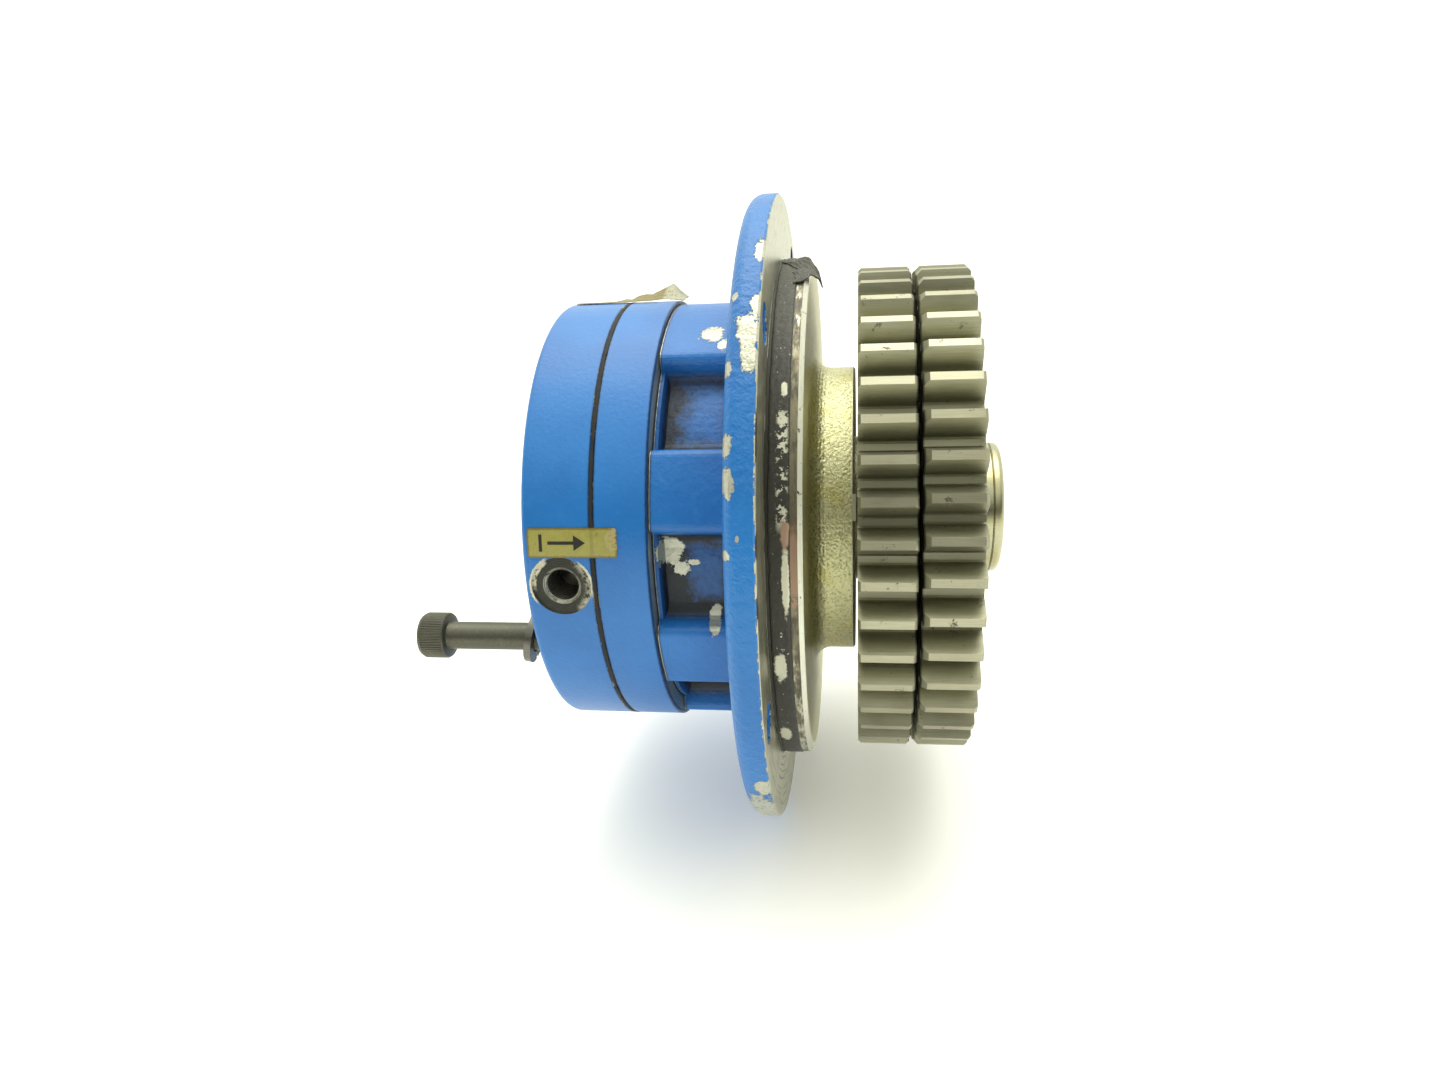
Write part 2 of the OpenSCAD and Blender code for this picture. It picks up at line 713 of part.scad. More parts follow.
rear_cover();
cover_gasket();
ring_gear();
housing_gasket();
flange_housing();
pilot_o_ring();
torn_sealant();
housing_screws();
housing_lock_washers();
loose_screw();
loose_lock_washer();
inlet_plug();
outlet_label();
inlet_label();
input_seal();
input_bearing_outer();
input_bearing_inner();
input_bearing_balls();
input_bearing_cage();
input_circlip();
sun_gear();
planet_gear(0);  // planet_gear_1
planet_gear(1);  // planet_gear_2
planet_gear(2);  // planet_gear_3
planet_bush(0);  // planet_bush_1
planet_bush(1);  // planet_bush_2
planet_bush(2);  // planet_bush_3
planet_pins();
planet_thrust_washers();
carrier_plate();
carrier_screws();
output_carrier();
rear_bearing_outer();
rear_bearing_inner();
rear_bearing_balls();
rear_bearing_cage();
front_bearing_outer();
front_bearing_inner();
front_bearing_balls();
front_bearing_cage();
output_seal();
output_gear_inner();
output_gear_outer();
gear_shim();
gear_key();
gear_clamp_screws();
gear_clamp_washers();
gear_circlip();
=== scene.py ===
"""Planetary gearbox: looks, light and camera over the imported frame. Metres, row frame, axis along +X."""

import math

import bmesh
import bpy
from mathutils import Matrix, Vector, noise


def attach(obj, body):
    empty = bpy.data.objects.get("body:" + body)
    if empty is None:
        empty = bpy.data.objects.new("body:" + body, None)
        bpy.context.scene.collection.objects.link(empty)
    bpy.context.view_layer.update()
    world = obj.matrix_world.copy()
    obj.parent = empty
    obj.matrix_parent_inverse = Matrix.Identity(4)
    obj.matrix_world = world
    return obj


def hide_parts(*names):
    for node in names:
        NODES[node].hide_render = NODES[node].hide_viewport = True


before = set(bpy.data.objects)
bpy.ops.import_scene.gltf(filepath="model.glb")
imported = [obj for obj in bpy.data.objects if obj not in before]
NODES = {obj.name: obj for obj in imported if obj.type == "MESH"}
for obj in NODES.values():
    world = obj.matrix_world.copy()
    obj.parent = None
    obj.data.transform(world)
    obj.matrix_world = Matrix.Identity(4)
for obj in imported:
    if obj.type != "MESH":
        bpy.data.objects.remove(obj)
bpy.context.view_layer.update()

# ---------------------------------------------------------------- measures, in millimetres
CASE_R = 65.5
PILOT_R = 76.0
SEAM_X = (-46.7, -45.9)
RING_END = -31.5
SCREW_R = 56.0
SCREW_N = 8
LOOSE_K = 7
PORT_X = -55.5
FLOOR_Z = -95.0
MM = 0.001


def at(x, r, beta):
    """Point at axial x and radius r, beta degrees from -Y towards +Z, from millimetres to metres."""
    b = math.radians(beta)
    return Vector((x * MM, -r * math.cos(b) * MM, r * math.sin(b) * MM))


# ---------------------------------------------------------------- shader helpers


class Tree:
    """Short names for building a node tree."""

    def __init__(self, name):
        self.mat = bpy.data.materials.new(name)
        self.mat.use_nodes = True
        self.t = self.mat.node_tree
        self.t.nodes.clear()
        self.out = self.node("ShaderNodeOutputMaterial")
        self.bsdf = self.node("ShaderNodeBsdfPrincipled")
        self.link(self.bsdf.outputs[0], self.out.inputs["Surface"])
        self.coord = self.node("ShaderNodeTexCoord").outputs["Object"]
        self.p = self.vmath("SCALE", self.coord, scale=1000.0)
        sep = self.node("ShaderNodeSeparateXYZ")
        self.link(self.p, sep.inputs[0])
        self.x, self.y, self.z = sep.outputs
        self._r = None
        self._beta = None

    def node(self, kind, **props):
        n = self.t.nodes.new(kind)
        for k, v in props.items():
            setattr(n, k, v)
        return n

    def link(self, a, b):
        self.t.links.new(a, b)

    def put(self, value, socket):
        if hasattr(value, "is_output"):
            self.link(value, socket)
        elif value is not None:
            socket.default_value = value

    def math(self, op, a, b=None, c=None, clamp=False):
        n = self.node("ShaderNodeMath", operation=op, use_clamp=clamp)
        for i, v in enumerate((a, b, c)):
            if v is not None:
                self.put(v, n.inputs[i])
        return n.outputs[0]

    def vmath(self, op, a, b=None, scale=None):
        n = self.node("ShaderNodeVectorMath", operation=op)
        self.put(a, n.inputs[0])
        if b is not None:
            self.put(b, n.inputs[1])
        if scale is not None:
            self.put(scale, n.inputs["Scale"])
        return n.outputs["Value"] if op in ("LENGTH", "DISTANCE", "DOT_PRODUCT") else n.outputs["Vector"]

    @property
    def r(self):
        if self._r is None:
            yy = self.math("MULTIPLY", self.y, self.y)
            self._r = self.math("SQRT", self.math("MULTIPLY_ADD", self.z, self.z, yy))
        return self._r

    @property
    def beta(self):
        """Degrees from -Y towards +Z, from -180 to 180."""
        if self._beta is None:
            a = self.math("ARCTAN2", self.z, self.math("MULTIPLY", self.y, -1.0))
            self._beta = self.math("MULTIPLY", a, 180 / math.pi)
        return self._beta

    def noise(self, scale, detail=3.0, rough=0.55, vec=None, lac=2.0, dist=0.0):
        n = self.node("ShaderNodeTexNoise")
        self.put(vec if vec is not None else self.p, n.inputs["Vector"])
        n.inputs["Scale"].default_value = scale
        n.inputs["Detail"].default_value = detail
        n.inputs["Roughness"].default_value = rough
        n.inputs["Lacunarity"].default_value = lac
        n.inputs["Distortion"].default_value = dist
        return n.outputs["Fac"]

    def cells(self, scale, vec=None, feature="F1", out="Distance", rand=1.0):
        n = self.node("ShaderNodeTexVoronoi", feature=feature)
        self.put(vec if vec is not None else self.p, n.inputs["Vector"])
        n.inputs["Scale"].default_value = scale
        n.inputs["Randomness"].default_value = rand
        return n.outputs[out]

    def stretch(self, sx, sy, sz, shift=(0, 0, 0)):
        n = self.node("ShaderNodeMapping")
        self.link(self.p, n.inputs["Vector"])
        n.inputs["Scale"].default_value = (sx, sy, sz)
        n.inputs["Location"].default_value = shift
        return n.outputs[0]

    def polar(self, kx, kr, kb):
        """Coordinates (x, r, arc length at r 60) times the given factors, for textures that follow a turned part."""
        n = self.node("ShaderNodeCombineXYZ")
        self.put(self.math("MULTIPLY", self.x, kx), n.inputs[0])
        self.put(self.math("MULTIPLY", self.r, kr), n.inputs[1])
        self.put(self.math("MULTIPLY", self.beta, kb), n.inputs[2])
        return n.outputs[0]

    def step(self, value, lo, hi, a=0.0, b=1.0):
        """Smooth step from a to b as value goes from lo to hi."""
        n = self.node("ShaderNodeMapRange", interpolation_type="SMOOTHSTEP")
        self.put(value, n.inputs[0])
        for i, v in enumerate((lo, hi, a, b)):
            self.put(v, n.inputs[i + 1])
        return n.outputs[0]

    def band(self, value, lo, hi, soft):
        """1 between lo and hi, 0 outside."""
        up = self.step(value, lo - soft, lo + soft)
        down = self.step(value, hi - soft, hi + soft, 1.0, 0.0)
        return self.math("MULTIPLY", up, down)

    def both(self, *masks):
        out = masks[0]
        for m in masks[1:]:
            out = self.math("MULTIPLY", out, m)
        return out

    def either(self, *masks):
        out = masks[0]
        for m in masks[1:]:
            out = self.math("MAXIMUM", out, m)
        return out

    def flip(self, mask):
        return self.math("SUBTRACT", 1.0, mask)

    def mix(self, fac, a, b):
        n = self.node("ShaderNodeMix", data_type="RGBA")
        self.put(fac, n.inputs[0])
        self.put(a if hasattr(a, "is_output") else (*a, 1.0), n.inputs[6])
        self.put(b if hasattr(b, "is_output") else (*b, 1.0), n.inputs[7])
        return n.outputs[2]

    def lerp(self, fac, a, b):
        n = self.node("ShaderNodeMix", data_type="FLOAT")
        self.put(fac, n.inputs[0])
        self.put(a, n.inputs[2])
        self.put(b, n.inputs[3])
        return n.outputs[0]

    def bump(self, height, strength=0.3, dist=0.1, normal=None):
        """dist is in millimetres."""
        n = self.node("ShaderNodeBump")
        self.put(height, n.inputs["Height"])
        self.put(strength, n.inputs["Strength"])
        n.inputs["Distance"].default_value = dist * MM
        if normal is not None:
            self.link(normal, n.inputs["Normal"])
        return n.outputs[0]

    def ellipse(self, x0, b0, ax, ab, wobble, hard=0.12):
        """Ragged patch centred on x0 mm and beta b0, with half sizes ax mm and ab degrees."""
        dx = self.math("MULTIPLY", self.math("SUBTRACT", self.x, x0), 1 / ax)
        db = self.math("MULTIPLY", self.math("SUBTRACT", self.beta, b0), 1 / ab)
        d = self.math("SQRT", self.math("MULTIPLY_ADD", dx, dx, self.math("MULTIPLY", db, db)))
        d = self.math("ADD", d, wobble)
        return self.step(d, 1 - hard, 1 + hard, 1.0, 0.0)

    def wobble(self, scale=0.45, amount=1.5, detail=8.0):
        return self.math("MULTIPLY", self.math("SUBTRACT", self.noise(scale, detail, 0.72), 0.5), amount)

    def finish(self, color, metallic, rough, normal=None, coat=None, spec=None):
        b = self.bsdf.inputs
        self.put(color if hasattr(color, "is_output") else (*color, 1.0), b["Base Color"])
        self.put(metallic, b["Metallic"])
        self.put(rough, b["Roughness"])
        if normal is not None:
            self.link(normal, b["Normal"])
        if coat is not None:
            b["Coat Weight"].default_value = coat
            b["Coat Roughness"].default_value = 0.18
        if spec is not None:
            b["Specular IOR Level"].default_value = spec
        return self.mat


# ---------------------------------------------------------------- colours (linear)
BLUE = (0.012, 0.185, 0.56)
BLUE_DEEP = (0.008, 0.145, 0.47)
BLUE_DUSTY = (0.050, 0.235, 0.56)
# Near-black: grime by the case seams, and painted shade in the flange pockets.
GRIME_AND_SHADE = (0.012, 0.012, 0.010)
OILY = (0.045, 0.040, 0.022)

# Ragged paint chips on the flange rim: x mm, beta, half length mm, half width degrees.
RIM_CHIPS = (
    (-0.9, 60.3, 1.7, 2.6), (-0.9, 48.6, 1.4, 1.7), (-2.6, 44.0, 2.9, 2.9), (-1.7, 39.5, 2.2, 2.2),
    (-7.3, 38.4, 1.2, 1.2), (-6.8, 27.0, 1.5, 1.5), (-6.6, 21.8, 1.7, 1.9), (-7.0, 11.8, 1.0, 0.7),
    (-4.2, 14.2, 0.5, 0.5), (-6.4, 50.5, 0.9, 0.8), (-1.6, -32.0, 2.4, 2.6), (-3.6, -44.0, 4.2, 9.0),
    (-1.0, -56.0, 3.0, 7.0), (-2.0, 150.0, 2.5, 3.0), (-5.0, 205.0, 2.0, 2.0), (-1.5, -110.0, 2.2, 4.0),
)
# Chips on the drum: pads and pocket floors.
DRUM_CHIPS = (
    (-17.5, 66.5, 3.4, 3.4), (-14.2, 62.5, 1.5, 2.0), (-27.2, 6.8, 3.2, 4.2), (-24.4, 1.8, 2.2, 2.0),
    (-15.8, -11.6, 1.6, 2.4), (-21.0, 3.4, 1.6, 0.8),
)


def painted(t, grime_and_shade=None, peel=1.0, peel_scale=0.9):
    """Blue enamel: returns colour, roughness and height sockets."""
    broad = t.noise(0.035, 3, 0.5)
    mottled = t.noise(0.45, 5, 0.6)
    fine = t.noise(6.0, 3, 0.6)
    c = t.mix(t.step(broad, 0.3, 0.75), BLUE_DEEP, BLUE)
    c = t.mix(t.math("MULTIPLY", t.step(mottled, 0.5, 0.85), 0.30), c, BLUE_DUSTY)
    c = t.mix(t.math("MULTIPLY", t.step(fine, 0.62, 0.78), 0.18), c, BLUE_DUSTY)
    rough = t.lerp(mottled, 0.30, 0.46)
    orange = t.noise(peel_scale, 2, 0.45)
    grit = t.cells(1.5, feature="SMOOTH_F1")
    height = t.math("MULTIPLY_ADD", grit, -0.25, t.math("MULTIPLY", orange, peel))
    scuffs = t.step(t.noise(1.0, 2, 0.5, vec=t.stretch(0.35, 3.2, 3.2)), 0.70, 0.76)
    c = t.mix(t.math("MULTIPLY", scuffs, 0.35), c, BLUE_DUSTY)
    # Darkens towards near-black: grime by the case seams, painted shade with some grime in the flange pockets.
    if grime_and_shade is not None:
        c = t.mix(grime_and_shade, c, GRIME_AND_SHADE)
        rough = t.lerp(grime_and_shade, rough, 0.5)
    return c, rough, height


def bare_metal(t):
    """Aluminium showing through paint: bright and lightly textured."""
    grain = t.noise(3.2, 4, 0.7)
    c = t.mix(grain, (0.40, 0.40, 0.31), (0.68, 0.68, 0.57))
    dark = t.step(t.noise(1.4, 5, 0.75), 0.56, 0.70)
    return t.mix(t.math("MULTIPLY", dark, 0.65), c, (0.13, 0.125, 0.10))


def case_material(name, seams, port):
    """Blue enamel on the rear cover or the ring gear body. A seam is its x, the side it faces and its wear."""
    t = Tree(name)
    outside = t.step(t.r, 64.2, 64.9)
    wob = t.wobble(0.9, 1.0)
    gate = t.step(t.noise(0.12, 4, 0.7), 0.52, 0.60)
    worn = grime_and_shade = None
    for x, sign, wear in seams:
        d = t.math("MULTIPLY", t.math("SUBTRACT", t.x, x), sign)
        w = t.step(t.math("ADD", d, t.math("MULTIPLY", wob, 1.1)), 0.30, 0.42, 1.0, 0.0)
        w = t.math("MULTIPLY", t.math("MULTIPLY", w, gate), wear)
        # Grime darkening the paint next to the seam.
        g = t.step(t.math("ADD", d, t.math("MULTIPLY", wob, 0.8)), 0.0, 0.9, 1.0, 0.0)
        worn = w if worn is None else t.either(worn, w)
        grime_and_shade = g if grime_and_shade is None else t.either(grime_and_shade, g)
    grime_and_shade = t.math("MULTIPLY", grime_and_shade, 0.75)
    colour, rough, height = painted(t, grime_and_shade, peel=1.0, peel_scale=0.8)
    metal = bare_metal(t)
    ragged = t.wobble(0.55, 1.6)
    small = t.step(t.noise(0.33, 5, 0.7), 0.76, 0.775)
    chips = t.either(t.both(small, t.step(t.noise(0.05, 1), 0.5, 0.6)), worn)
    if port:
        # nicks on the rear corner
        corner = t.step(t.math("ADD", t.x, t.math("MULTIPLY", wob, 1.6)), -65.4, -64.9, 1.0, 0.0)
        nicks = t.both(corner, t.step(t.noise(0.22, 4, 0.7), 0.60, 0.64), t.step(t.r, 63.2, 64.2))
        chips = t.either(chips, nicks)
    inner = t.flip(outside)
    faces = inner if not port else t.both(inner, t.step(t.x, -64.9, -64.5))
    bare = t.either(chips, faces)
    if port:
        dz = t.z
        dx = t.math("SUBTRACT", t.x, PORT_X)
        rp = t.math("SQRT", t.math("MULTIPLY_ADD", dx, dx, t.math("MULTIPLY", dz, dz)))
        front = t.step(t.y, -50.0, -49.0, 1.0, 0.0)
        lip = t.both(t.step(t.math("ADD", rp, t.math("MULTIPLY", ragged, 1.0)), 8.75, 8.85, 1.0, 0.0), front)
        left = t.both(t.step(dx, -4.5, -3.0, 1.0, 0.0), t.step(dz, -5.5, -3.5))
        lip = t.math("MULTIPLY", lip, t.either(left, t.both(t.step(dx, 4.5, 6.0), t.step(dz, -4.0, -1.0))))
        spot = t.both(t.step(rp, 8.14, 8.24, 1.0, 0.0), front)
        bare = t.either(bare, lip, spot)
    colour = t.mix(bare, colour, metal)
    metallic = t.math("MULTIPLY", bare, 0.7)
    rough = t.lerp(bare, rough, 0.42)
    height = t.math("MULTIPLY_ADD", bare, -1.6, height)
    if port:
        rings = t.math("SINE", t.math("MULTIPLY", rp, 14.0))
        smear = t.noise(0.7, 6, 0.75)
        greasy = t.mix(smear, (0.006, 0.006, 0.005), (0.040, 0.041, 0.032))
        spot_c = t.mix(t.math("MULTIPLY", t.step(rings, 0.2, 1.0), 0.5), greasy, (0.070, 0.072, 0.058))
        bright = t.both(t.step(t.math("ADD", rp, ragged), 5.6, 8.4), t.step(dx, 2.8, 5.0),
                        t.step(smear, 0.42, 0.55))
        chipped = t.both(t.step(t.math("ADD", rp, ragged), 6.9, 7.3), t.step(dx, -3.2, -4.2),
                         t.step(dz, -2.0, 0.5), t.step(smear, 0.40, 0.50))
        spot_c = t.mix(t.either(t.math("MULTIPLY", bright, 0.8), chipped), spot_c, (0.52, 0.50, 0.38))
        ring_c = t.band(rp, 4.45, 5.2, 0.12)
        spot_c = t.mix(t.math("MULTIPLY", ring_c, t.step(smear, 0.35, 0.5)), spot_c, (0.36, 0.36, 0.29))
        hole = t.step(rp, 4.30, 4.42, 1.0, 0.0)
        spot_c = t.mix(hole, spot_c, (0.022, 0.022, 0.018))
        colour = t.mix(spot, colour, spot_c)
        rough = t.lerp(spot, rough, 0.36)
        thread = t.math("SINE", t.math("MULTIPLY_ADD", t.y, 2 * math.pi / 0.907, t.math("ARCTAN2", dz, dx)))
        crest = t.step(thread, 0.1, 0.95)
        in_hole = t.both(t.step(rp, 4.5, 4.6, 1.0, 0.0), front)
        colour = t.mix(t.math("MULTIPLY", in_hole, crest), colour, (0.34, 0.34, 0.28))
        height = t.lerp(in_hole, t.math("MULTIPLY_ADD", t.math("MULTIPLY", spot, rings), 0.25, height),
                        t.math("MULTIPLY", thread, 2.2))
    n = t.bump(height, 0.6, 0.16)
    return t.finish(colour, metallic, rough, n, coat=0.12)


def flange_material():
    """Blue drum and flange, machined flange face, greasy pilot and cast snout, told apart by place."""
    t = Tree("flange_housing_finish")
    x, r, beta = t.x, t.r, t.beta
    ragged = t.math("ADD", t.wobble(0.30, 2.1), t.wobble(1.3, 1.3))
    fine_rag = t.wobble(1.6, 0.9)
    # --- zones
    paint_zone = t.step(x, -0.24, -0.12, 1.0, 0.0)
    inside = t.step(r, 49.6, 50.0, 1.0, 0.0)
    joint = t.step(x, -31.02, -30.95, 1.0, 0.0)
    # --- paint, with painted shade and some grime in the pockets: darker by the pad walls, at the rear and front ends and towards the bottom
    turn = t.math("MODULO", t.math("ADD", beta, 360 + 22.5), 45.0)
    off = t.math("ABSOLUTE", t.math("SUBTRACT", turn, 22.5))
    streak = t.noise(0.17, 6, 0.68)
    # Painted shade: darker next to the pad walls.
    wall_shade = t.step(t.math("ADD", off, t.math("MULTIPLY", t.math("SUBTRACT", streak, 0.5), 9.0)), 5.0, 11.5)
    # Painted shade: darker at the rear end of the pocket, by the ring's end face.
    rear_edge = t.math("ADD", x, t.math("MULTIPLY", t.math("SUBTRACT", streak, 0.5), 16.0))
    rear = t.step(rear_edge, -28.0, -19.0, 1.0, 0.0)
    # Painted shade: darker at the front end of the pocket, by the flange.
    front_corner_shade = t.step(t.math("ADD", x, t.math("MULTIPLY", streak, 6.0)), -12.5, -8.5)
    pocket = t.both(t.step(r, 57.0, 61.8, 1.0, 0.0), t.step(x, -8.2, -9.8), t.step(beta, 77.0, 79.0, 1.0, 0.0))
    # Painted shade: darker towards the bottom.
    bottom_shade = t.step(t.z, 26.0, -8.0)
    film = t.step(t.noise(0.5, 6, 0.72), 0.46, 0.66)
    # Painted shade in the pocket corners; the next line adds a grime film and painted shade towards the bottom.
    dirt = t.either(t.math("MULTIPLY", rear, 0.9), t.math("MULTIPLY", wall_shade, 0.85),
                    t.math("MULTIPLY", front_corner_shade, 0.55))
    film_and_bottom_shade = t.math("ADD", t.math("MULTIPLY", film, 0.22), t.math("MULTIPLY", bottom_shade, 0.40), clamp=True)
    grime_and_shade = t.both(pocket, t.math("ADD", dirt, film_and_bottom_shade, clamp=True))
    grime_and_shade = t.math("MINIMUM", grime_and_shade, 0.975)
    seam_edge = t.math("ADD", x, t.math("MULTIPLY", fine_rag, 0.5))
    seam_dirt = t.both(t.step(seam_edge, -30.95, -30.3, 1.0, 0.0), t.step(r, 62.0, 63.0))
    grime_and_shade = t.either(grime_and_shade, t.math("MULTIPLY", seam_dirt, 0.8))
    rim = t.step(r, 66.0, 72.0)
    colour, rough, height = painted(t, grime_and_shade, peel=1.0, peel_scale=0.50)
    brown = t.both(grime_and_shade, film, t.step(t.noise(0.3, 3, 0.6), 0.5, 0.65))
    colour = t.mix(t.math("MULTIPLY", brown, 0.18), colour, (0.050, 0.050, 0.034))
    peel_strength = t.lerp(rim, 0.50, 1.0)
    # --- chips
    chips = None
    for cx, cb, ax, ab in RIM_CHIPS:
        cb = cb - 360 if cb > 180 else cb
        m = t.ellipse(cx, cb, ax, ab, ragged, 0.06)
        chips = m if chips is None else t.either(chips, m)
    chips = t.both(chips, t.step(r, 86.0, 88.0))
    drum = None
    for cx, cb, ax, ab in DRUM_CHIPS:
        m = t.ellipse(cx, cb, ax, ab, ragged, 0.06)
        drum = m if drum is None else t.either(drum, m)
    drum = t.both(drum, t.step(r, 68.0, 70.0, 1.0, 0.0))
    corner_edge = t.math("ADD", x, t.math("MULTIPLY", ragged, 0.35))
    corner_wear = t.both(t.step(corner_edge, -0.55, -0.45), t.step(t.noise(0.22, 4, 0.6), 0.50, 0.56))
    specks = t.step(t.noise(0.8, 4, 0.7), 0.745, 0.755)
    chips = t.either(chips, drum, corner_wear, t.both(specks, t.step(t.noise(0.04, 1), 0.46, 0.6)))
    left_paint = t.both(t.step(t.noise(0.62, 6, 0.7), 0.60, 0.62), t.step(r, 86.0, 88.0),
                        t.step(beta, -20.0, -30.0))
    chips = t.math("MULTIPLY", chips, t.flip(left_paint))
    metal = bare_metal(t)
    colour = t.mix(chips, colour, metal)
    metallic = t.math("MULTIPLY", chips, 0.7)
    rough = t.lerp(chips, rough, 0.42)
    height = t.math("MULTIPLY_ADD", chips, -0.9, height)
    # --- machined flange face
    lathe = t.noise(1.0, 2, 0.6, vec=t.polar(0.2, 5.0, 0.02))
    face_c = t.mix(lathe, (0.36, 0.36, 0.27), (0.62, 0.62, 0.50))
    stain = t.step(t.noise(0.28, 5, 0.7), 0.50, 0.72)
    face_c = t.mix(t.math("MULTIPLY", stain, 0.6), face_c, (0.10, 0.095, 0.055))
    lines = t.step(t.noise(1.0, 3, 0.6, vec=t.polar(0.2, 1.6, 0.05)), 0.54, 0.60)
    face_c = t.mix(t.both(lines, t.step(r, 93.5, 91.0), t.step(beta, 66.0, 50.0)), face_c, (0.055, 0.052, 0.035))
    rust = t.ellipse(0.0, 13.2, 4.0, 1.7, ragged, 0.3)
    rust = t.either(rust, t.ellipse(0.0, 4.3, 4.0, 1.8, ragged, 0.3), t.ellipse(0.0, 28.5, 4.0, 3.2, ragged, 0.3))
    face_c = t.mix(t.both(rust, t.step(r, 91.5, 94.0)), face_c, (0.045, 0.030, 0.020))
    # --- pilot: greasy black at its root, brown rub, silver edge
    grease_n = t.noise(0.35, 6, 0.72, vec=t.polar(1.6, 1.0, 0.55))
    edge1 = t.math("ADD", x, t.math("MULTIPLY", fine_rag, 0.5))
    turned = t.noise(1.0, 3, 0.6, vec=t.polar(6.0, 1.0, 0.06))
    pil = t.mix(turned, (0.11, 0.095, 0.060), (0.30, 0.275, 0.195))
    pil = t.mix(t.math("MULTIPLY", t.step(grease_n, 0.46, 0.62), 0.75), pil, OILY)
    pale = t.both(t.step(grease_n, 0.50, 0.40), t.either(t.step(beta, -6.0, -16.0), t.step(beta, 46.0, 58.0)))
    pil = t.mix(pale, pil, (0.60, 0.59, 0.47))
    rub = t.ellipse(7.2, 7.5, 1.2, 8.5, ragged, 0.25)
    pil = t.mix(t.math("MULTIPLY", rub, 0.85), pil, (0.37, 0.235, 0.165))
    black = t.step(edge1, 6.0, 6.3, 1.0, 0.0)
    pil = t.mix(black, pil, t.mix(grease_n, (0.006, 0.006, 0.005), (0.040, 0.038, 0.026)))
    silver_edge = t.step(x, 7.95, 8.1)
    silver_c = t.mix(turned, (0.58, 0.58, 0.48), (0.82, 0.82, 0.72))
    silver_c = t.mix(t.step(t.noise(0.5, 6, 0.75), 0.60, 0.66), silver_c, (0.05, 0.048, 0.035))
    pil = t.mix(silver_edge, pil, silver_c)
    pilot_zone = t.both(t.step(r, 73.0, 73.3), t.step(x, 0.02, 0.1), t.step(r, 76.6, 77.0, 1.0, 0.0))
    # --- snout and the front face of the pilot: cast aluminium, yellowish, hammered
    dimple = t.noise(1.35, 3, 0.55)
    pits = t.cells(1.15, feature="SMOOTH_F1")
    cast_c = t.mix(t.noise(0.25, 4, 0.6), (0.58, 0.565, 0.30), (0.80, 0.79, 0.52))
    cast_c = t.mix(t.math("MULTIPLY", t.step(t.noise(0.10, 3, 0.6), 0.46, 0.68), 0.6), cast_c, (0.66, 0.585, 0.20))
    cast_c = t.mix(t.math("MULTIPLY", t.step(dimple, 0.52, 0.38), 0.45), cast_c, (0.20, 0.19, 0.10))
    snout = t.both(t.step(x, 8.9, 9.15), t.step(r, 72.8, 73.6, 1.0, 0.0))
    root = t.both(snout, t.step(x, 17.0, 10.5), t.step(r, 46.0, 54.0))
    cast_c = t.mix(t.math("MULTIPLY", root, 0.55), cast_c, (0.27, 0.255, 0.115))
    machined_end = t.step(x, 20.6, 20.9)
    cast_c = t.mix(machined_end, cast_c, (0.60, 0.59, 0.44))
    # --- assemble
    front = t.flip(paint_zone)
    colour = t.mix(front, colour, face_c)
    metallic = t.lerp(front, metallic, 0.9)
    rough = t.lerp(front, rough, 0.34)
    colour = t.mix(pilot_zone, colour, pil)
    greasy = t.math("MULTIPLY", t.step(grease_n, 0.46, 0.6), t.flip(silver_edge))
    dirty = t.both(pilot_zone, t.either(black, greasy))
    metallic = t.lerp(dirty, metallic, 0.15)
    rough = t.lerp(dirty, rough, 0.42)
    colour = t.mix(snout, colour, cast_c)
    rough = t.lerp(snout, rough, 0.38)
    metallic = t.lerp(snout, metallic, 0.95)
    bare_in = t.either(t.both(inside, t.step(x, 20.0, 19.0)), joint)
    bare_in = t.both(bare_in, t.flip(snout))
    colour = t.mix(bare_in, colour, (0.62, 0.62, 0.56))
    metallic = t.lerp(bare_in, metallic, 0.9)
    rough = t.lerp(bare_in, rough, 0.35)
    n = t.bump(height, t.math("MULTIPLY", paint_zone, peel_strength), 0.42)
    hammer = t.math("ADD", t.math("MULTIPLY", dimple, 1.0), t.math("MULTIPLY", pits, 0.5))
    n = t.bump(hammer, t.both(snout, t.flip(machined_end), t.step(r, 62.0, 50.0, 0.45, 1.0)), 0.24, n)
    n = t.bump(t.math("MULTIPLY", grease_n, 1.0), t.math("MULTIPLY", pilot_zone, 0.6), 0.30, n)
    n = t.bump(lathe, t.both(front, t.flip(pilot_zone), t.flip(snout)), 0.03, n)
    return t.finish(colour, metallic, rough, n)


def steel(name, lo, hi, rough=(0.25, 0.4), grain=(0.15, 3.0, 3.0), speck=0.0, oil=0.0, bump=0.03, tint=None):
    """Bare or plated steel with a directional grain, dark specks and an oil film."""
    t = Tree(name)
    g = t.noise(1.2, 4, 0.6, vec=t.stretch(*grain))
    broad = t.noise(0.10, 3, 0.6)
    c = t.mix(g, lo, hi)
    if tint is not None:
        c = t.mix(t.step(broad, 0.4, 0.7), c, tint)
    rg = t.lerp(broad, *rough)
    if speck:
        s = t.step(t.noise(1.5, 4, 0.75), 0.68, 0.74)
        patch = t.step(t.noise(0.22, 5, 0.65), 0.66, 0.70)
        s = t.math("MULTIPLY", t.either(s, patch), speck)
        c = t.mix(s, c, (0.035, 0.033, 0.026))
        rg = t.lerp(s, rg, 0.5)
    if oil:
        o = t.math("MULTIPLY", t.step(t.noise(0.16, 4, 0.6), 0.45, 0.7), oil)
        c = t.mix(o, c, tuple(v * 0.55 for v in lo))
    n = t.bump(g, 0.6, bump)
    return t.finish(c, 1.0, rg, n)


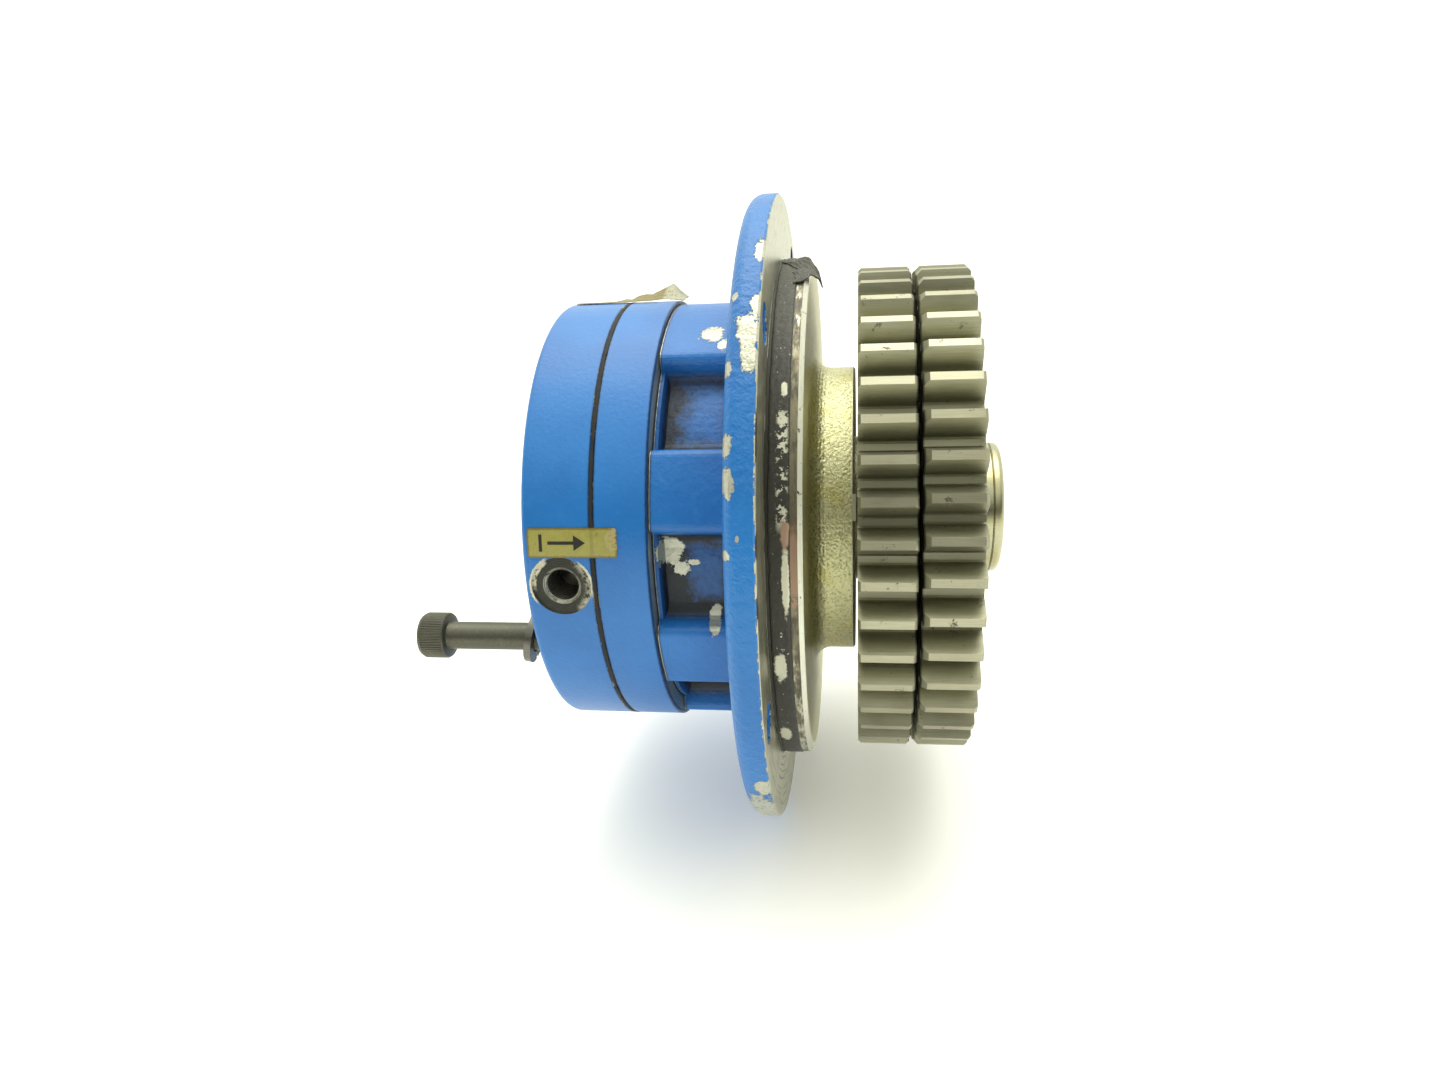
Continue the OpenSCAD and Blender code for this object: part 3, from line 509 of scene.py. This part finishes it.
def output_gear_material():
    """Brownish ground gear steel: paler tooth tips, darker flanks and roots, specks and black smudges."""
    t = Tree("output_gear_finish")
    g = t.noise(1.0, 4, 0.6, vec=t.stretch(0.12, 3.5, 3.5))
    broad = t.noise(0.06, 3, 0.5)
    flank = t.mix(g, (0.26, 0.255, 0.180), (0.44, 0.435, 0.315))
    tip = t.mix(g, (0.28, 0.27, 0.195), (0.50, 0.485, 0.355))
    top = t.step(t.r, 72.80, 72.95)
    c = t.mix(top, flank, tip)
    # Darker towards the bottoms of the tooth roots.
    root = t.step(t.r, 67.2, 69.4, 1.0, 0.0)
    c = t.mix(t.math("MULTIPLY", root, 0.35), c, (0.10, 0.095, 0.062))
    c = t.mix(t.math("MULTIPLY", t.step(broad, 0.45, 0.7), 0.35), c, (0.22, 0.20, 0.145))
    specks = t.step(t.noise(1.3, 4, 0.75), 0.675, 0.72)
    smudge = t.both(t.step(t.noise(0.27, 5, 0.7), 0.63, 0.67), t.step(t.noise(2.0, 3, 0.7), 0.40, 0.5))
    marks = t.either(specks, t.math("MULTIPLY", smudge, t.lerp(top, 0.6, 1.0)))
    c = t.mix(t.math("MULTIPLY", marks, 0.85), c, (0.020, 0.019, 0.016))
    # Painted shade: the ends of the rims darken into the gap between the two gears.
    gap_shade = t.band(t.x, 36.9, 38.8, 0.15)
    c = t.mix(t.math("MULTIPLY", gap_shade, 0.7), c, (0.02, 0.018, 0.012))
    web = t.step(t.r, 62.0, 64.0, 1.0, 0.0)
    lathe = t.noise(1.0, 2, 0.6, vec=t.polar(0.2, 4.0, 0.02))
    c = t.mix(web, c, t.mix(lathe, (0.26, 0.25, 0.20), (0.44, 0.43, 0.35)))
    rg = t.lerp(marks, t.lerp(top, t.lerp(broad, 0.36, 0.50), t.lerp(g, 0.30, 0.46)), 0.55)
    met = t.lerp(marks, 0.93, 0.3)
    n = t.bump(t.math("MULTIPLY_ADD", marks, 0.4, g), 0.5, 0.035)
    n = t.bump(lathe, web, 0.03, n)
    return t.finish(c, met, rg, n)


def black_oxide():
    """Blackened screw steel with rubbed patches."""
    t = Tree("black_oxide_finish")
    g = t.noise(1.5, 4, 0.65)
    wear = t.step(t.noise(0.6, 4, 0.7), 0.56, 0.72)
    c = t.mix(g, (0.070, 0.068, 0.052), (0.145, 0.142, 0.110))
    c = t.mix(t.math("MULTIPLY", wear, 0.45), c, (0.20, 0.19, 0.15))
    n = t.bump(g, 0.4, 0.03)
    return t.finish(c, 0.75, t.lerp(g, 0.34, 0.52), n)


def rubbery(name, lo, hi, rough=0.55, dust=0.2, bump=0.05, scale=1.4):
    t = Tree(name)
    g = t.noise(scale, 4, 0.65)
    c = t.mix(g, lo, hi)
    d = t.step(t.noise(0.5, 5, 0.7), 0.55, 0.75)
    c = t.mix(t.math("MULTIPLY", d, dust), c, (0.18, 0.17, 0.14))
    n = t.bump(g, 0.7, bump)
    return t.finish(c, 0.0, t.lerp(g, rough - 0.1, rough + 0.1), n)


def label_material(name, flake=True):
    """Aged golden film with worn, scuffed edges and a smear of dirt."""
    t = Tree(name)
    g = t.noise(0.45, 5, 0.65)
    c = t.mix(g, (0.255, 0.225, 0.040), (0.40, 0.375, 0.095))
    c = t.mix(t.math("MULTIPLY", t.step(t.noise(1.8, 3, 0.6), 0.55, 0.75), 0.4), c, (0.46, 0.44, 0.15))
    if flake:
        db = t.math("SUBTRACT", t.beta, 10.6)
        ex = t.math("SUBTRACT", t.math("ABSOLUTE", t.math("SUBTRACT", t.x, -51.65)), 12.15)
        eb = t.math("MULTIPLY", t.math("SUBTRACT", t.math("ABSOLUTE", db), 3.5), 1.143)
        edge = t.math("ADD", t.math("MAXIMUM", ex, eb), t.math("MULTIPLY", t.wobble(1.2, 1.2), 0.6))
        rim = t.step(edge, -0.75, -0.25)
        c = t.mix(t.math("MULTIPLY", rim, 0.75), c, (0.12, 0.085, 0.02))
        tear = t.both(t.ellipse(-40.6, 11.4, 2.0, 2.6, t.wobble(0.6, 1.2), 0.1), t.step(t.noise(0.8, 3), 0.40, 0.46))
        c = t.mix(t.math("MULTIPLY", tear, 0.8), c, (0.42, 0.34, 0.16))
        seam = t.band(t.x, -46.75, -45.85, 0.15)
        c = t.mix(t.math("MULTIPLY", seam, 0.25), c, (0.10, 0.08, 0.02))
    dirt = t.step(t.noise(0.8, 5, 0.7), 0.60, 0.72)
    c = t.mix(t.math("MULTIPLY", dirt, 0.5), c, (0.07, 0.05, 0.015))
    n = t.bump(g, 0.3, 0.04)
    return t.finish(c, 0.0, t.lerp(g, 0.28, 0.45), n, coat=0.3)


def peeled_material():
    """The peeled label: brown adhesive side and pale torn film."""
    t = Tree("peeled_label_finish")
    g = t.noise(0.8, 5, 0.7)
    c = t.mix(g, (0.10, 0.075, 0.02), (0.34, 0.28, 0.09))
    pale = t.both(t.step(t.x, -37.2, -35.4), t.step(g, 0.25, 0.5))
    c = t.mix(t.math("MULTIPLY", pale, 0.75), c, (0.55, 0.54, 0.40))
    dots = t.step(t.cells(1.3), 0.16, 0.26, 1.0, 0.0)
    c = t.mix(t.math("MULTIPLY", dots, 0.7), c, (0.03, 0.025, 0.012))
    return t.finish(c, 0.0, 0.5, t.bump(g, 0.6, 0.12))


def sealant_material():
    """Black sealant smear with pale worn flecks and streaks."""
    t = Tree("sealant_finish")
    g = t.noise(1.1, 5, 0.7)
    rag = t.wobble(0.7, 1.6)
    c = t.mix(g, (0.006, 0.006, 0.005), (0.050, 0.048, 0.038))
    # Lighter grey over the upper side of the band, above beta 30 to 60 degrees.
    c = t.mix(t.both(t.step(t.beta, 30.0, 60.0), t.step(g, 0.3, 0.7, 0.0, 0.6)), c, (0.13, 0.13, 0.105))
    flecks = t.both(t.step(t.noise(0.75, 4, 0.72), 0.66, 0.685), t.step(t.x, 1.2, 2.0))
    chain = t.both(t.band(t.x, 3.0, 5.6, 0.5), t.band(t.beta, 15.0, 37.0, 2.0),
                   t.step(t.noise(0.55, 4, 0.7), 0.52, 0.55))
    pale = t.either(
        flecks, chain, t.ellipse(5.0, 4.5, 1.0, 6.5, rag, 0.15), t.ellipse(3.0, -14.0, 1.6, 3.4, rag, 0.15),
        t.ellipse(2.6, -37.0, 1.6, 3.2, rag, 0.15), t.ellipse(4.6, 41.0, 0.8, 1.6, rag, 0.15))
    c = t.mix(pale, c, (0.66, 0.65, 0.53))
    c = t.mix(t.ellipse(5.2, 13.5, 1.3, 2.6, rag, 0.2), c, (0.36, 0.235, 0.17))
    return t.finish(c, t.math("MULTIPLY", pale, 0.6), t.lerp(g, 0.38, 0.6), t.bump(g, 0.7, 0.2))


def plastic(name, lo, hi):
    t = Tree(name)
    g = t.noise(0.7, 4, 0.6)
    return t.finish(t.mix(g, lo, hi), 0.0, t.lerp(g, 0.35, 0.55), t.bump(t.noise(3.0, 2), 0.3, 0.03))


# ---------------------------------------------------------------- assign to the CAD nodes
M = {
    "cover": case_material("rear_cover_finish", [(SEAM_X[0], -1.0, 1.0)], True),
    "ring": case_material("ring_gear_finish", [(SEAM_X[1], 1.0, 1.0), (RING_END, -1.0, 0.0)], False),
    "flange": flange_material(),
    "out_gear": output_gear_material(),
    "oxide": black_oxide(),
    "spring": steel("spring_steel_finish", (0.10, 0.10, 0.09), (0.22, 0.21, 0.18), (0.3, 0.45), speck=0.4),
    "zinc": steel("zinc_shaft_finish", (0.34, 0.33, 0.22), (0.56, 0.55, 0.40), (0.22, 0.34), (0.12, 2.5, 2.5),
                  speck=0.15, tint=(0.42, 0.38, 0.20)),
    "gear": steel("train_gear_finish", (0.30, 0.295, 0.26), (0.50, 0.49, 0.43), (0.2, 0.32), speck=0.2, oil=0.5),
    "bearing": steel("bearing_steel_finish", (0.55, 0.55, 0.53), (0.72, 0.72, 0.69), (0.12, 0.22), (0.4, 2.0, 2.0)),
    "ball": steel("ball_finish", (0.72, 0.72, 0.70), (0.82, 0.82, 0.80), (0.05, 0.09), (1, 1, 1), bump=0.005),
    "brass": steel("brass_finish", (0.52, 0.34, 0.10), (0.70, 0.49, 0.18), (0.22, 0.35), (1, 1, 1)),
    "bronze": steel("bronze_finish", (0.36, 0.21, 0.08), (0.52, 0.32, 0.14), (0.25, 0.4), (0.3, 2, 2), oil=0.4),
    "machined": steel("machined_steel_finish", (0.36, 0.355, 0.32), (0.55, 0.54, 0.49), (0.25, 0.38), (0.4, 2, 2),
                      speck=0.2),
    "gasket": rubbery("gasket_finish", (0.003, 0.003, 0.003), (0.014, 0.014, 0.012), 0.7, 0.08, 0.1),
    "rubber": rubbery("o_ring_finish", (0.008, 0.008, 0.007), (0.035, 0.033, 0.026), 0.42, 0.35, 0.12, 0.9),
    "seal": rubbery("seal_finish", (0.10, 0.038, 0.016), (0.20, 0.08, 0.035), 0.45, 0.15),
    "film": sealant_material(),
    "label": label_material("outlet_label_finish"),
    "peeled": peeled_material(),
    "ink": rubbery("ink_finish", (0.004, 0.004, 0.003), (0.015, 0.013, 0.008), 0.45, 0.05, 0.01),
    "plug": plastic("plug_finish", (0.62, 0.61, 0.54), (0.78, 0.77, 0.70)),
}
LOOK = {
    "rear_cover": "cover", "ring_gear": "ring", "flange_housing": "flange", "cover_gasket": "gasket",
    "housing_gasket": "gasket", "pilot_o_ring": "rubber", "torn_sealant": "film", "housing_screws": "oxide",
    "housing_lock_washers": "spring", "loose_screw": "oxide", "loose_lock_washer": "spring",
    "inlet_plug": "plug", "outlet_label": "label", "inlet_label": "peeled", "input_seal": "seal",
    "output_seal": "seal", "input_circlip": "spring", "sun_gear": "gear", "planet_pins": "bearing",
    "planet_thrust_washers": "bronze", "carrier_plate": "machined", "carrier_screws": "oxide",
    "output_carrier": "zinc", "output_gear_inner": "out_gear", "output_gear_outer": "out_gear",
    "gear_shim": "machined", "gear_key": "machined", "gear_clamp_screws": "oxide",
    "gear_clamp_washers": "spring", "gear_circlip": "spring",
}
for name, obj in NODES.items():
    key = LOOK.get(name)
    if key is None:
        if name.endswith("_balls"):
            key = "ball"
        elif name.endswith("_cage"):
            key = "brass"
        elif name.startswith("planet_gear"):
            key = "gear"
        elif name.startswith("planet_bush"):
            key = "bronze"
        else:
            key = "bearing"
    if obj.material_slots:
        for s in obj.material_slots:
            s.material = M[key]
    else:
        obj.data.materials.append(M[key])

# ---------------------------------------------------------------- mesh helpers


def new_piece(name, bm, material, body, smooth=40.0):
    """Turns a bmesh in millimetres into an object that rides on a body."""
    bmesh.ops.recalc_face_normals(bm, faces=bm.faces)
    for v in bm.verts:
        v.co *= MM
    for f in bm.faces:
        f.smooth = True
    for e in bm.edges:
        if len(e.link_faces) == 2 and e.calc_face_angle(0.0) > math.radians(smooth):
            e.smooth = False
    me = bpy.data.meshes.new(name)
    bm.to_mesh(me)
    bm.free()
    me.materials.append(material)
    obj = bpy.data.objects.new(name, me)
    bpy.context.scene.collection.objects.link(obj)
    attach(obj, body)
    return obj


def grid(bm, rows, closed=True):
    """Joins rows of points into quads. Every row has the same count."""
    made = [[bm.verts.new(p) for p in row] for row in rows]
    n = len(made[0])
    last = n if closed else n - 1
    for a, b in zip(made, made[1:]):
        for i in range(last):
            j = (i + 1) % n
            bm.faces.new((a[i], a[j], b[j], b[i]))
    return made


def cap_screw(bm, x0, centre, r, length, head_r, head_h, flats, pitch, sign=1.0, thread=True, turn=0.0, plain=0.6):
    """Socket head cap screw along X. x0 is the underside of its head, and sign is the shank's direction."""
    cols = 162
    cy, cz = centre

    def ring(x, radius, row=0):
        pts = []
        for i in range(cols):
            a = 2 * math.pi * i / cols
            rr = radius(i, a) if callable(radius) else radius
            pts.append(Vector((x0 + sign * x, cy + rr * math.cos(a), cz + rr * math.sin(a))))
        return pts

    knurl = lambda i, a: head_r - (0.0 if i % 3 else 0.24)
    rows = [ring(0.0, r + 0.15), ring(0.0, head_r - 0.55), ring(-0.12, head_r - 0.3), ring(-0.45, head_r - 0.1),
            ring(-0.6, knurl), ring(-head_h * 0.84, knurl), ring(-head_h * 0.88, head_r - 0.14),
            ring(-head_h * 0.985, head_r - 0.62), ring(-head_h, head_r - 0.95)]

    def hexagon(x, af, grow=0.0):
        pts = []
        for i in range(cols):
            a = 2 * math.pi * i / cols
            k = (a + math.radians(turn)) % (math.pi / 3) - math.pi / 6
            rr = (af / 2 + grow) / math.cos(k)
            pts.append(Vector((x0 + sign * x, cy + rr * math.cos(a), cz + rr * math.sin(a))))
        return pts

    rows += [hexagon(-head_h, flats, 0.28), hexagon(-head_h + 0.3, flats), hexagon(-head_h * 0.5, flats),
             ring(-head_h * 0.5 + 0.5, flats * 0.25), ring(-head_h * 0.5 + 0.9, 0.02)]
    made = grid(bm, rows)
    bm.faces.new(made[-1])
    # shank
    minor = r - 0.6134 * pitch
    rows = [ring(0.0, r + 0.15), ring(0.3, r)]
    if thread:
        stepx = pitch / 10
        count = int((length - plain - 0.6) / stepx)

        def threaded(x):
            def radius(i, a):
                ph = (x / pitch - sign * a / (2 * math.pi)) % 1.0
                tri = 1 - abs(ph - 0.5) * 2
                prof = min(1.0, max(0.0, (tri - 0.08) / 0.74))
                fade = min(1.0, max(0.0, (length - x) / 1.4))
                start = min(1.0, max(0.0, (x - plain) / 1.2))
                full = minor + (r - minor) * prof
                out = r - 0.02 + (full - r) * start
                return min(out, minor + (r - minor) * (0.15 + 0.85 * fade))
            return radius

        for k in range(count):
            rows.append(ring(plain + k * stepx, threaded(plain + k * stepx)))
        rows.append(ring(length - 0.25, minor - 0.05))
        rows.append(ring(length, minor - 0.35))
    else:
        rows += [ring(length - 1.0, r), ring(length, r * 0.8)]
    rows.append(ring(length, 0.02))
    made = grid(bm, rows)
    bm.faces.new(made[-1])


def screw_centre(k):
    b = math.radians(22.5 + k * 360 / SCREW_N)
    return -SCREW_R * math.cos(b), SCREW_R * math.sin(b)


# Loose housing screw with its real thread and knurled head.
bm = bmesh.new()
cap_screw(bm, -95.3, screw_centre(LOOSE_K), 3.98, 50.0, 6.62, 8.0, 6.0, 1.25, plain=30.0)
loose = new_piece("loose_screw_threaded", bm, M["oxide"], "housing", 35)
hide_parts("loose_screw")

# Seated housing screws.
bm = bmesh.new()
for k in range(LOOSE_K):
    cap_screw(bm, -57.0, screw_centre(k), 3.98, 50.0, 6.6, 8.0, 6.0, 1.25, thread=False, turn=17.0 * k)
seated = new_piece("housing_screws_knurled", bm, M["oxide"], "housing", 35)
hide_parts("housing_screws")

# Clamp screws of the outer gear: heads towards +X.
bm = bmesh.new()
for k in range(6):
    b = math.radians(60 * k)
    cap_screw(bm, 46.7, (-40 * math.cos(b), 40 * math.sin(b)), 2.98, 22.0, 5.0, 6.0, 5.0, 1.0, sign=-1.0,
              thread=False, turn=23.0 * k)
clamps = new_piece("gear_clamp_screws_knurled", bm, M["oxide"], "output", 35)
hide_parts("gear_clamp_screws")

# Squeezed-out gasket edge round the seam between the rear cover and the ring gear body.
bm = bmesh.new()
rows = []
steps = 1080
mid = (SEAM_X[0] + SEAM_X[1]) / 2
for i in range(steps):
    b = 360 * i / steps
    q = at(0, 40, b) / MM
    wide = 0.56 + 0.46 * noise.noise(q * 0.35) + 0.16 * noise.noise(q * 1.3)
    shift = 0.10 * noise.noise(q * 0.6 + Vector((9, 0, 0)))
    high = 0.04 + 0.10 * abs(noise.noise(q * 0.9 + Vector((0, 7, 0))))
    section = ((-wide, -0.10), (-wide * 0.75, high * 0.6), (0.0, high), (wide * 0.8, high * 0.5), (wide, -0.10))
    rows.append([at(mid + shift + dx, CASE_R + dr, b) / MM for dx, dr in section])
rows.append([p.copy() for p in rows[0]])
grid(bm, rows, closed=False)
bmesh.ops.remove_doubles(bm, verts=bm.verts, dist=1e-4)
bead = new_piece("cover_gasket_bead", bm, M["gasket"], "housing", 60)

# Torn sealant: a crumpled flap over the top of the pilot, then the smeared band right round it.
bm = bmesh.new()
rows = []
nb, nx = 46, 22
for i in range(nb + 1):
    b = 71.0 + 25.0 * i / nb
    row = []
    for j in range(nx + 1):
        s = j / nx
        q = Vector((s * 9, b * 0.45, 3.0))
        reach = 7.5 + 5.5 * max(0.0, 1 - abs((b - 78.0) / 7.5)) + 1.6 * noise.noise(Vector((b * 0.35, 1.0, 0.0)))
        start = 6.6 - 4.4 * max(0.0, min(1.0, (b - 80.0) / 6.0)) + 1.2 * noise.noise(Vector((b * 0.5, 5.0, 0.0)))
        x = start + (reach - start + 1.2) * s - 1.4
        over = max(0.0, x - 9.0)
        lift = 0.25 + 0.55 * s * s + 0.55 * abs(noise.noise(q * 0.9)) + 0.9 * s * max(0.0, 1 - abs((b - 84) / 6.0))
        r = PILOT_R + lift - 0.55 * over * over * (0.5 + 0.5 * abs(noise.noise(Vector((b * 0.3, 2.0, 4.0)))))
        row.append(at(x, r, b) / MM)
    rows.append(row)
grid(bm, rows, closed=False)
band = []
for i in range(720):
    q = at(0, 40, i * 0.5) / MM
    x0 = 0.75 + 0.25 * noise.noise(q * 0.5)
    x1 = 6.05 + 0.35 * noise.noise(q * 0.7 + Vector((3, 0, 0))) + 0.15 * noise.noise(q * 2.1)
    row = []
    for j in range(13):
        x = x0 + (x1 - x0) * j / 12
        lift = -0.05 if j in (0, 12) else 0.17 + 0.09 * noise.noise(q * 0.8 + Vector((x * 1.3, 0, 0)))
        row.append(at(x, PILOT_R + lift, i * 0.5) / MM)
    band.append(row)
band.append([p.copy() for p in band[0]])
grid(bm, band, closed=False)
bmesh.ops.remove_doubles(bm, verts=bm.verts, dist=1e-4)
film = new_piece("torn_sealant_film", bm, M["film"], "housing", 70)
solid = film.modifiers.new("thickness", "SOLIDIFY")
solid.thickness = 0.35 * MM
solid.offset = -1.0
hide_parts("torn_sealant")

# Peeled second label: flat at the rear end, lifted, creased and folded at the other.
bm = bmesh.new()
PROFILE = ((-63.5, 0.28), (-57.0, 0.30), (-52.5, 0.42), (-49.5, 1.15), (-47.6, 0.95), (-45.6, 1.9), (-43.2, 2.3),
           (-41.0, 2.2), (-38.4, 3.3), (-35.8, 4.5), (-34.0, 5.25), (-33.4, 4.9), (-31.6, 3.0), (-29.6, 0.95))


def along(s):
    t = s * (len(PROFILE) - 1)
    i = min(int(t), len(PROFILE) - 2)
    f = t - i
    f = f * f * (3 - 2 * f) * 0.5 + f * 0.5
    (xa, ha), (xb, hb) = PROFILE[i], PROFILE[i + 1]
    return xa + (xb - xa) * f, ha + (hb - ha) * f


rows = []
for i in range(97):
    s = i / 96
    x, h = along(s)
    up = max(0.0, (s - 0.3) / 0.7)
    row = []
    for j in range(17):
        v = j / 16 * 2 - 1
        q = Vector((x * 0.3, v * 1.4, 0.5))
        y = 4.0 * v * (1 - 0.10 * up * up)
        crinkle = up * (0.45 * noise.noise(q) + 0.18 * noise.noise(q * 3.1))
        rise = 0.3 + (h - 0.3) * (0.10 + 0.90 * ((v + 1) / 2) ** 1.3)
        curl = up * 0.3 * v * v * (1 if x < -34 else -0.3)
        sag = -(y * y) / (2 * CASE_R) * (1 - up)
        p = Vector((x + up * 0.3 * noise.noise(q + Vector((3, 1, 0))), y, CASE_R + rise + crinkle + curl + sag))
        row.append(Matrix.Rotation(math.radians(-5.0), 3, "X") @ p)
    rows.append(row)
grid(bm, rows, closed=False)
peel = new_piece("inlet_label_peeled", bm, M["peeled"], "housing", 75)
solid = peel.modifiers.new("thickness", "SOLIDIFY")
solid.thickness = 0.16 * MM
solid.offset = 0.0
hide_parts("inlet_label")


# Flow symbol on the outlet label: a bar, a shaft and an arrow head, laid on the curve of the case.
def stamp(bm, outline, x0, beta0, r):
    """Outline of (x, arc) millimetres, wrapped on a cylinder of radius r."""
    verts = [bm.verts.new(at(x0 + px, r, beta0 + math.degrees(pa / r)) / MM) for px, pa in outline]
    bm.faces.new(verts)


bm = bmesh.new()
ink_r = CASE_R + 0.235
bar = [(-8.0, -2.3), (-7.1, -2.3), (-7.1, -0.8), (-7.1, 0.8), (-7.1, 2.3), (-8.0, 2.3), (-8.0, 0.8), (-8.0, -0.8)]
stem = [(-5.6, -0.45), (-2.0, -0.45), (1.4, -0.45), (1.4, 0.45), (-2.0, 0.45), (-5.6, 0.45)]
head = [(1.4, -0.45), (1.4, -1.2), (1.4, -2.1), (2.9, -1.1), (4.6, 0.0), (2.9, 1.1), (1.4, 2.1), (1.4, 1.2),
        (1.4, 0.45)]
for outline in (bar, stem, head):
    stamp(bm, outline, -52.6, 10.6, ink_r)
symbol = new_piece("outlet_flow_symbol", bm, M["ink"], "housing", 40)

# ---------------------------------------------------------------- floor, light, camera
me = bpy.data.meshes.new("studio_floor")
bm = bmesh.new()
bmesh.ops.create_grid(bm, x_segments=2, y_segments=2, size=6.0)
bm.to_mesh(me)
bm.free()
floor = bpy.data.objects.new("studio_floor", me)
floor.location = (0, 0, FLOOR_Z * MM)
bpy.context.scene.collection.objects.link(floor)
fm = Tree("floor_finish")
fm.finish((0.90, 0.90, 0.885), 0.0, 0.65)
fm.bsdf.inputs["Emission Color"].default_value = (1.0, 1.0, 0.90, 1.0)
fm.bsdf.inputs["Emission Strength"].default_value = 0.22
me.materials.append(fm.mat)

world = bpy.data.worlds.new("studio")
bpy.context.scene.world = world
world.use_nodes = True
wt = world.node_tree
wt.nodes.clear()
w_out = wt.nodes.new("ShaderNodeOutputWorld")
w_bg = wt.nodes.new("ShaderNodeBackground")
w_co = wt.nodes.new("ShaderNodeTexCoord")
w_sep = wt.nodes.new("ShaderNodeSeparateXYZ")
w_up = wt.nodes.new("ShaderNodeMapRange")
w_up.interpolation_type = "SMOOTHSTEP"
for i, v in enumerate((0.15, 0.85, 0.0, 1.0)):
    w_up.inputs[i + 1].default_value = v
w_back = wt.nodes.new("ShaderNodeMapRange")
w_back.interpolation_type = "SMOOTHSTEP"
for i, v in enumerate((-0.55, 0.25, 0.0, 1.0)):
    w_back.inputs[i + 1].default_value = v
w_max = wt.nodes.new("ShaderNodeMath")
w_max.operation = "MAXIMUM"
w_mix = wt.nodes.new("ShaderNodeMix")
w_mix.data_type = "RGBA"
w_mix.inputs[6].default_value = (0.035, 0.037, 0.032, 1)
w_mix.inputs[7].default_value = (1.32, 1.33, 1.16, 1)
wt.links.new(w_co.outputs["Generated"], w_sep.inputs[0])
wt.links.new(w_sep.outputs["Z"], w_up.inputs[0])
wt.links.new(w_sep.outputs["Y"], w_back.inputs[0])
wt.links.new(w_up.outputs[0], w_max.inputs[0])
wt.links.new(w_back.outputs[0], w_max.inputs[1])
wt.links.new(w_max.outputs[0], w_mix.inputs[0])
wt.links.new(w_mix.outputs[2], w_bg.inputs["Color"])
w_bg.inputs["Strength"].default_value = 1.0
wt.links.new(w_bg.outputs[0], w_out.inputs["Surface"])


def soft_light(name, place, aim, size, energy, colour=(1, 1, 1)):
    data = bpy.data.lights.new(name, "AREA")
    data.shape = "RECTANGLE"
    data.size, data.size_y = size
    data.energy = energy
    data.color = colour
    obj = bpy.data.objects.new(name, data)
    obj.location = place
    obj.rotation_euler = (Vector(aim) - Vector(place)).to_track_quat("-Z", "Y").to_euler()
    bpy.context.scene.collection.objects.link(obj)


soft_light("key_overhead", (0.05, 0.10, 0.85), (0, 0, 0), (0.9, 0.6), 3.5, (1.0, 1.0, 0.93))
sun = bpy.data.lights.new("sky_glow", "SUN")
sun.energy = 0.75
sun.angle = math.radians(70)
sun.color = (1.0, 1.0, 0.94)
sun_obj = bpy.data.objects.new("sky_glow", sun)
sun_obj.rotation_euler = (math.radians(-14), math.radians(-6), 0)
bpy.context.scene.collection.objects.link(sun_obj)

# Camera: f, distance and the turn of the axis against the picture.
DIST = 0.3073
THETA = math.radians(8.254)
ALPHA = math.radians(2.039)
ELEV = math.radians(18.4)
foot = Vector((0.0234, 0, 0))
toward = Vector((0, -math.cos(ELEV), math.sin(ELEV)))
above = Vector((0, math.sin(ELEV), math.cos(ELEV)))
axis = Vector((1, 0, 0))
# In camera coordinates (right, down, forward): the axis, the way to the camera, and the third direction.
c_axis = Vector((math.cos(THETA), 0, -math.sin(THETA)))
c_foot = Vector((math.sin(THETA) * math.cos(ALPHA), -math.sin(ALPHA), math.cos(THETA) * math.cos(ALPHA)))
c_toward = -c_foot
c_above = c_axis.cross(c_toward)
if c_above.y > 0:
    c_above = -c_above
right = axis * c_axis.x + toward * c_toward.x + above * c_above.x
down = axis * c_axis.y + toward * c_toward.y + above * c_above.y
ahead = axis * c_axis.z + toward * c_toward.z + above * c_above.z
rot = Matrix((right, -down, -ahead)).transposed()
cam_data = bpy.data.cameras.new("camera")
cam_data.sensor_width = 36.0
cam_data.sensor_fit = "HORIZONTAL"
cam_data.lens = 36.0 * 958.96 / 1445
cam_data.clip_start = 0.01
cam = bpy.data.objects.new("camera", cam_data)
cam.matrix_world = Matrix.Translation(foot + toward * DIST) @ rot.to_4x4()
bpy.context.scene.collection.objects.link(cam)
bpy.context.scene.camera = cam
bpy.context.scene.view_settings.view_transform = "Standard"
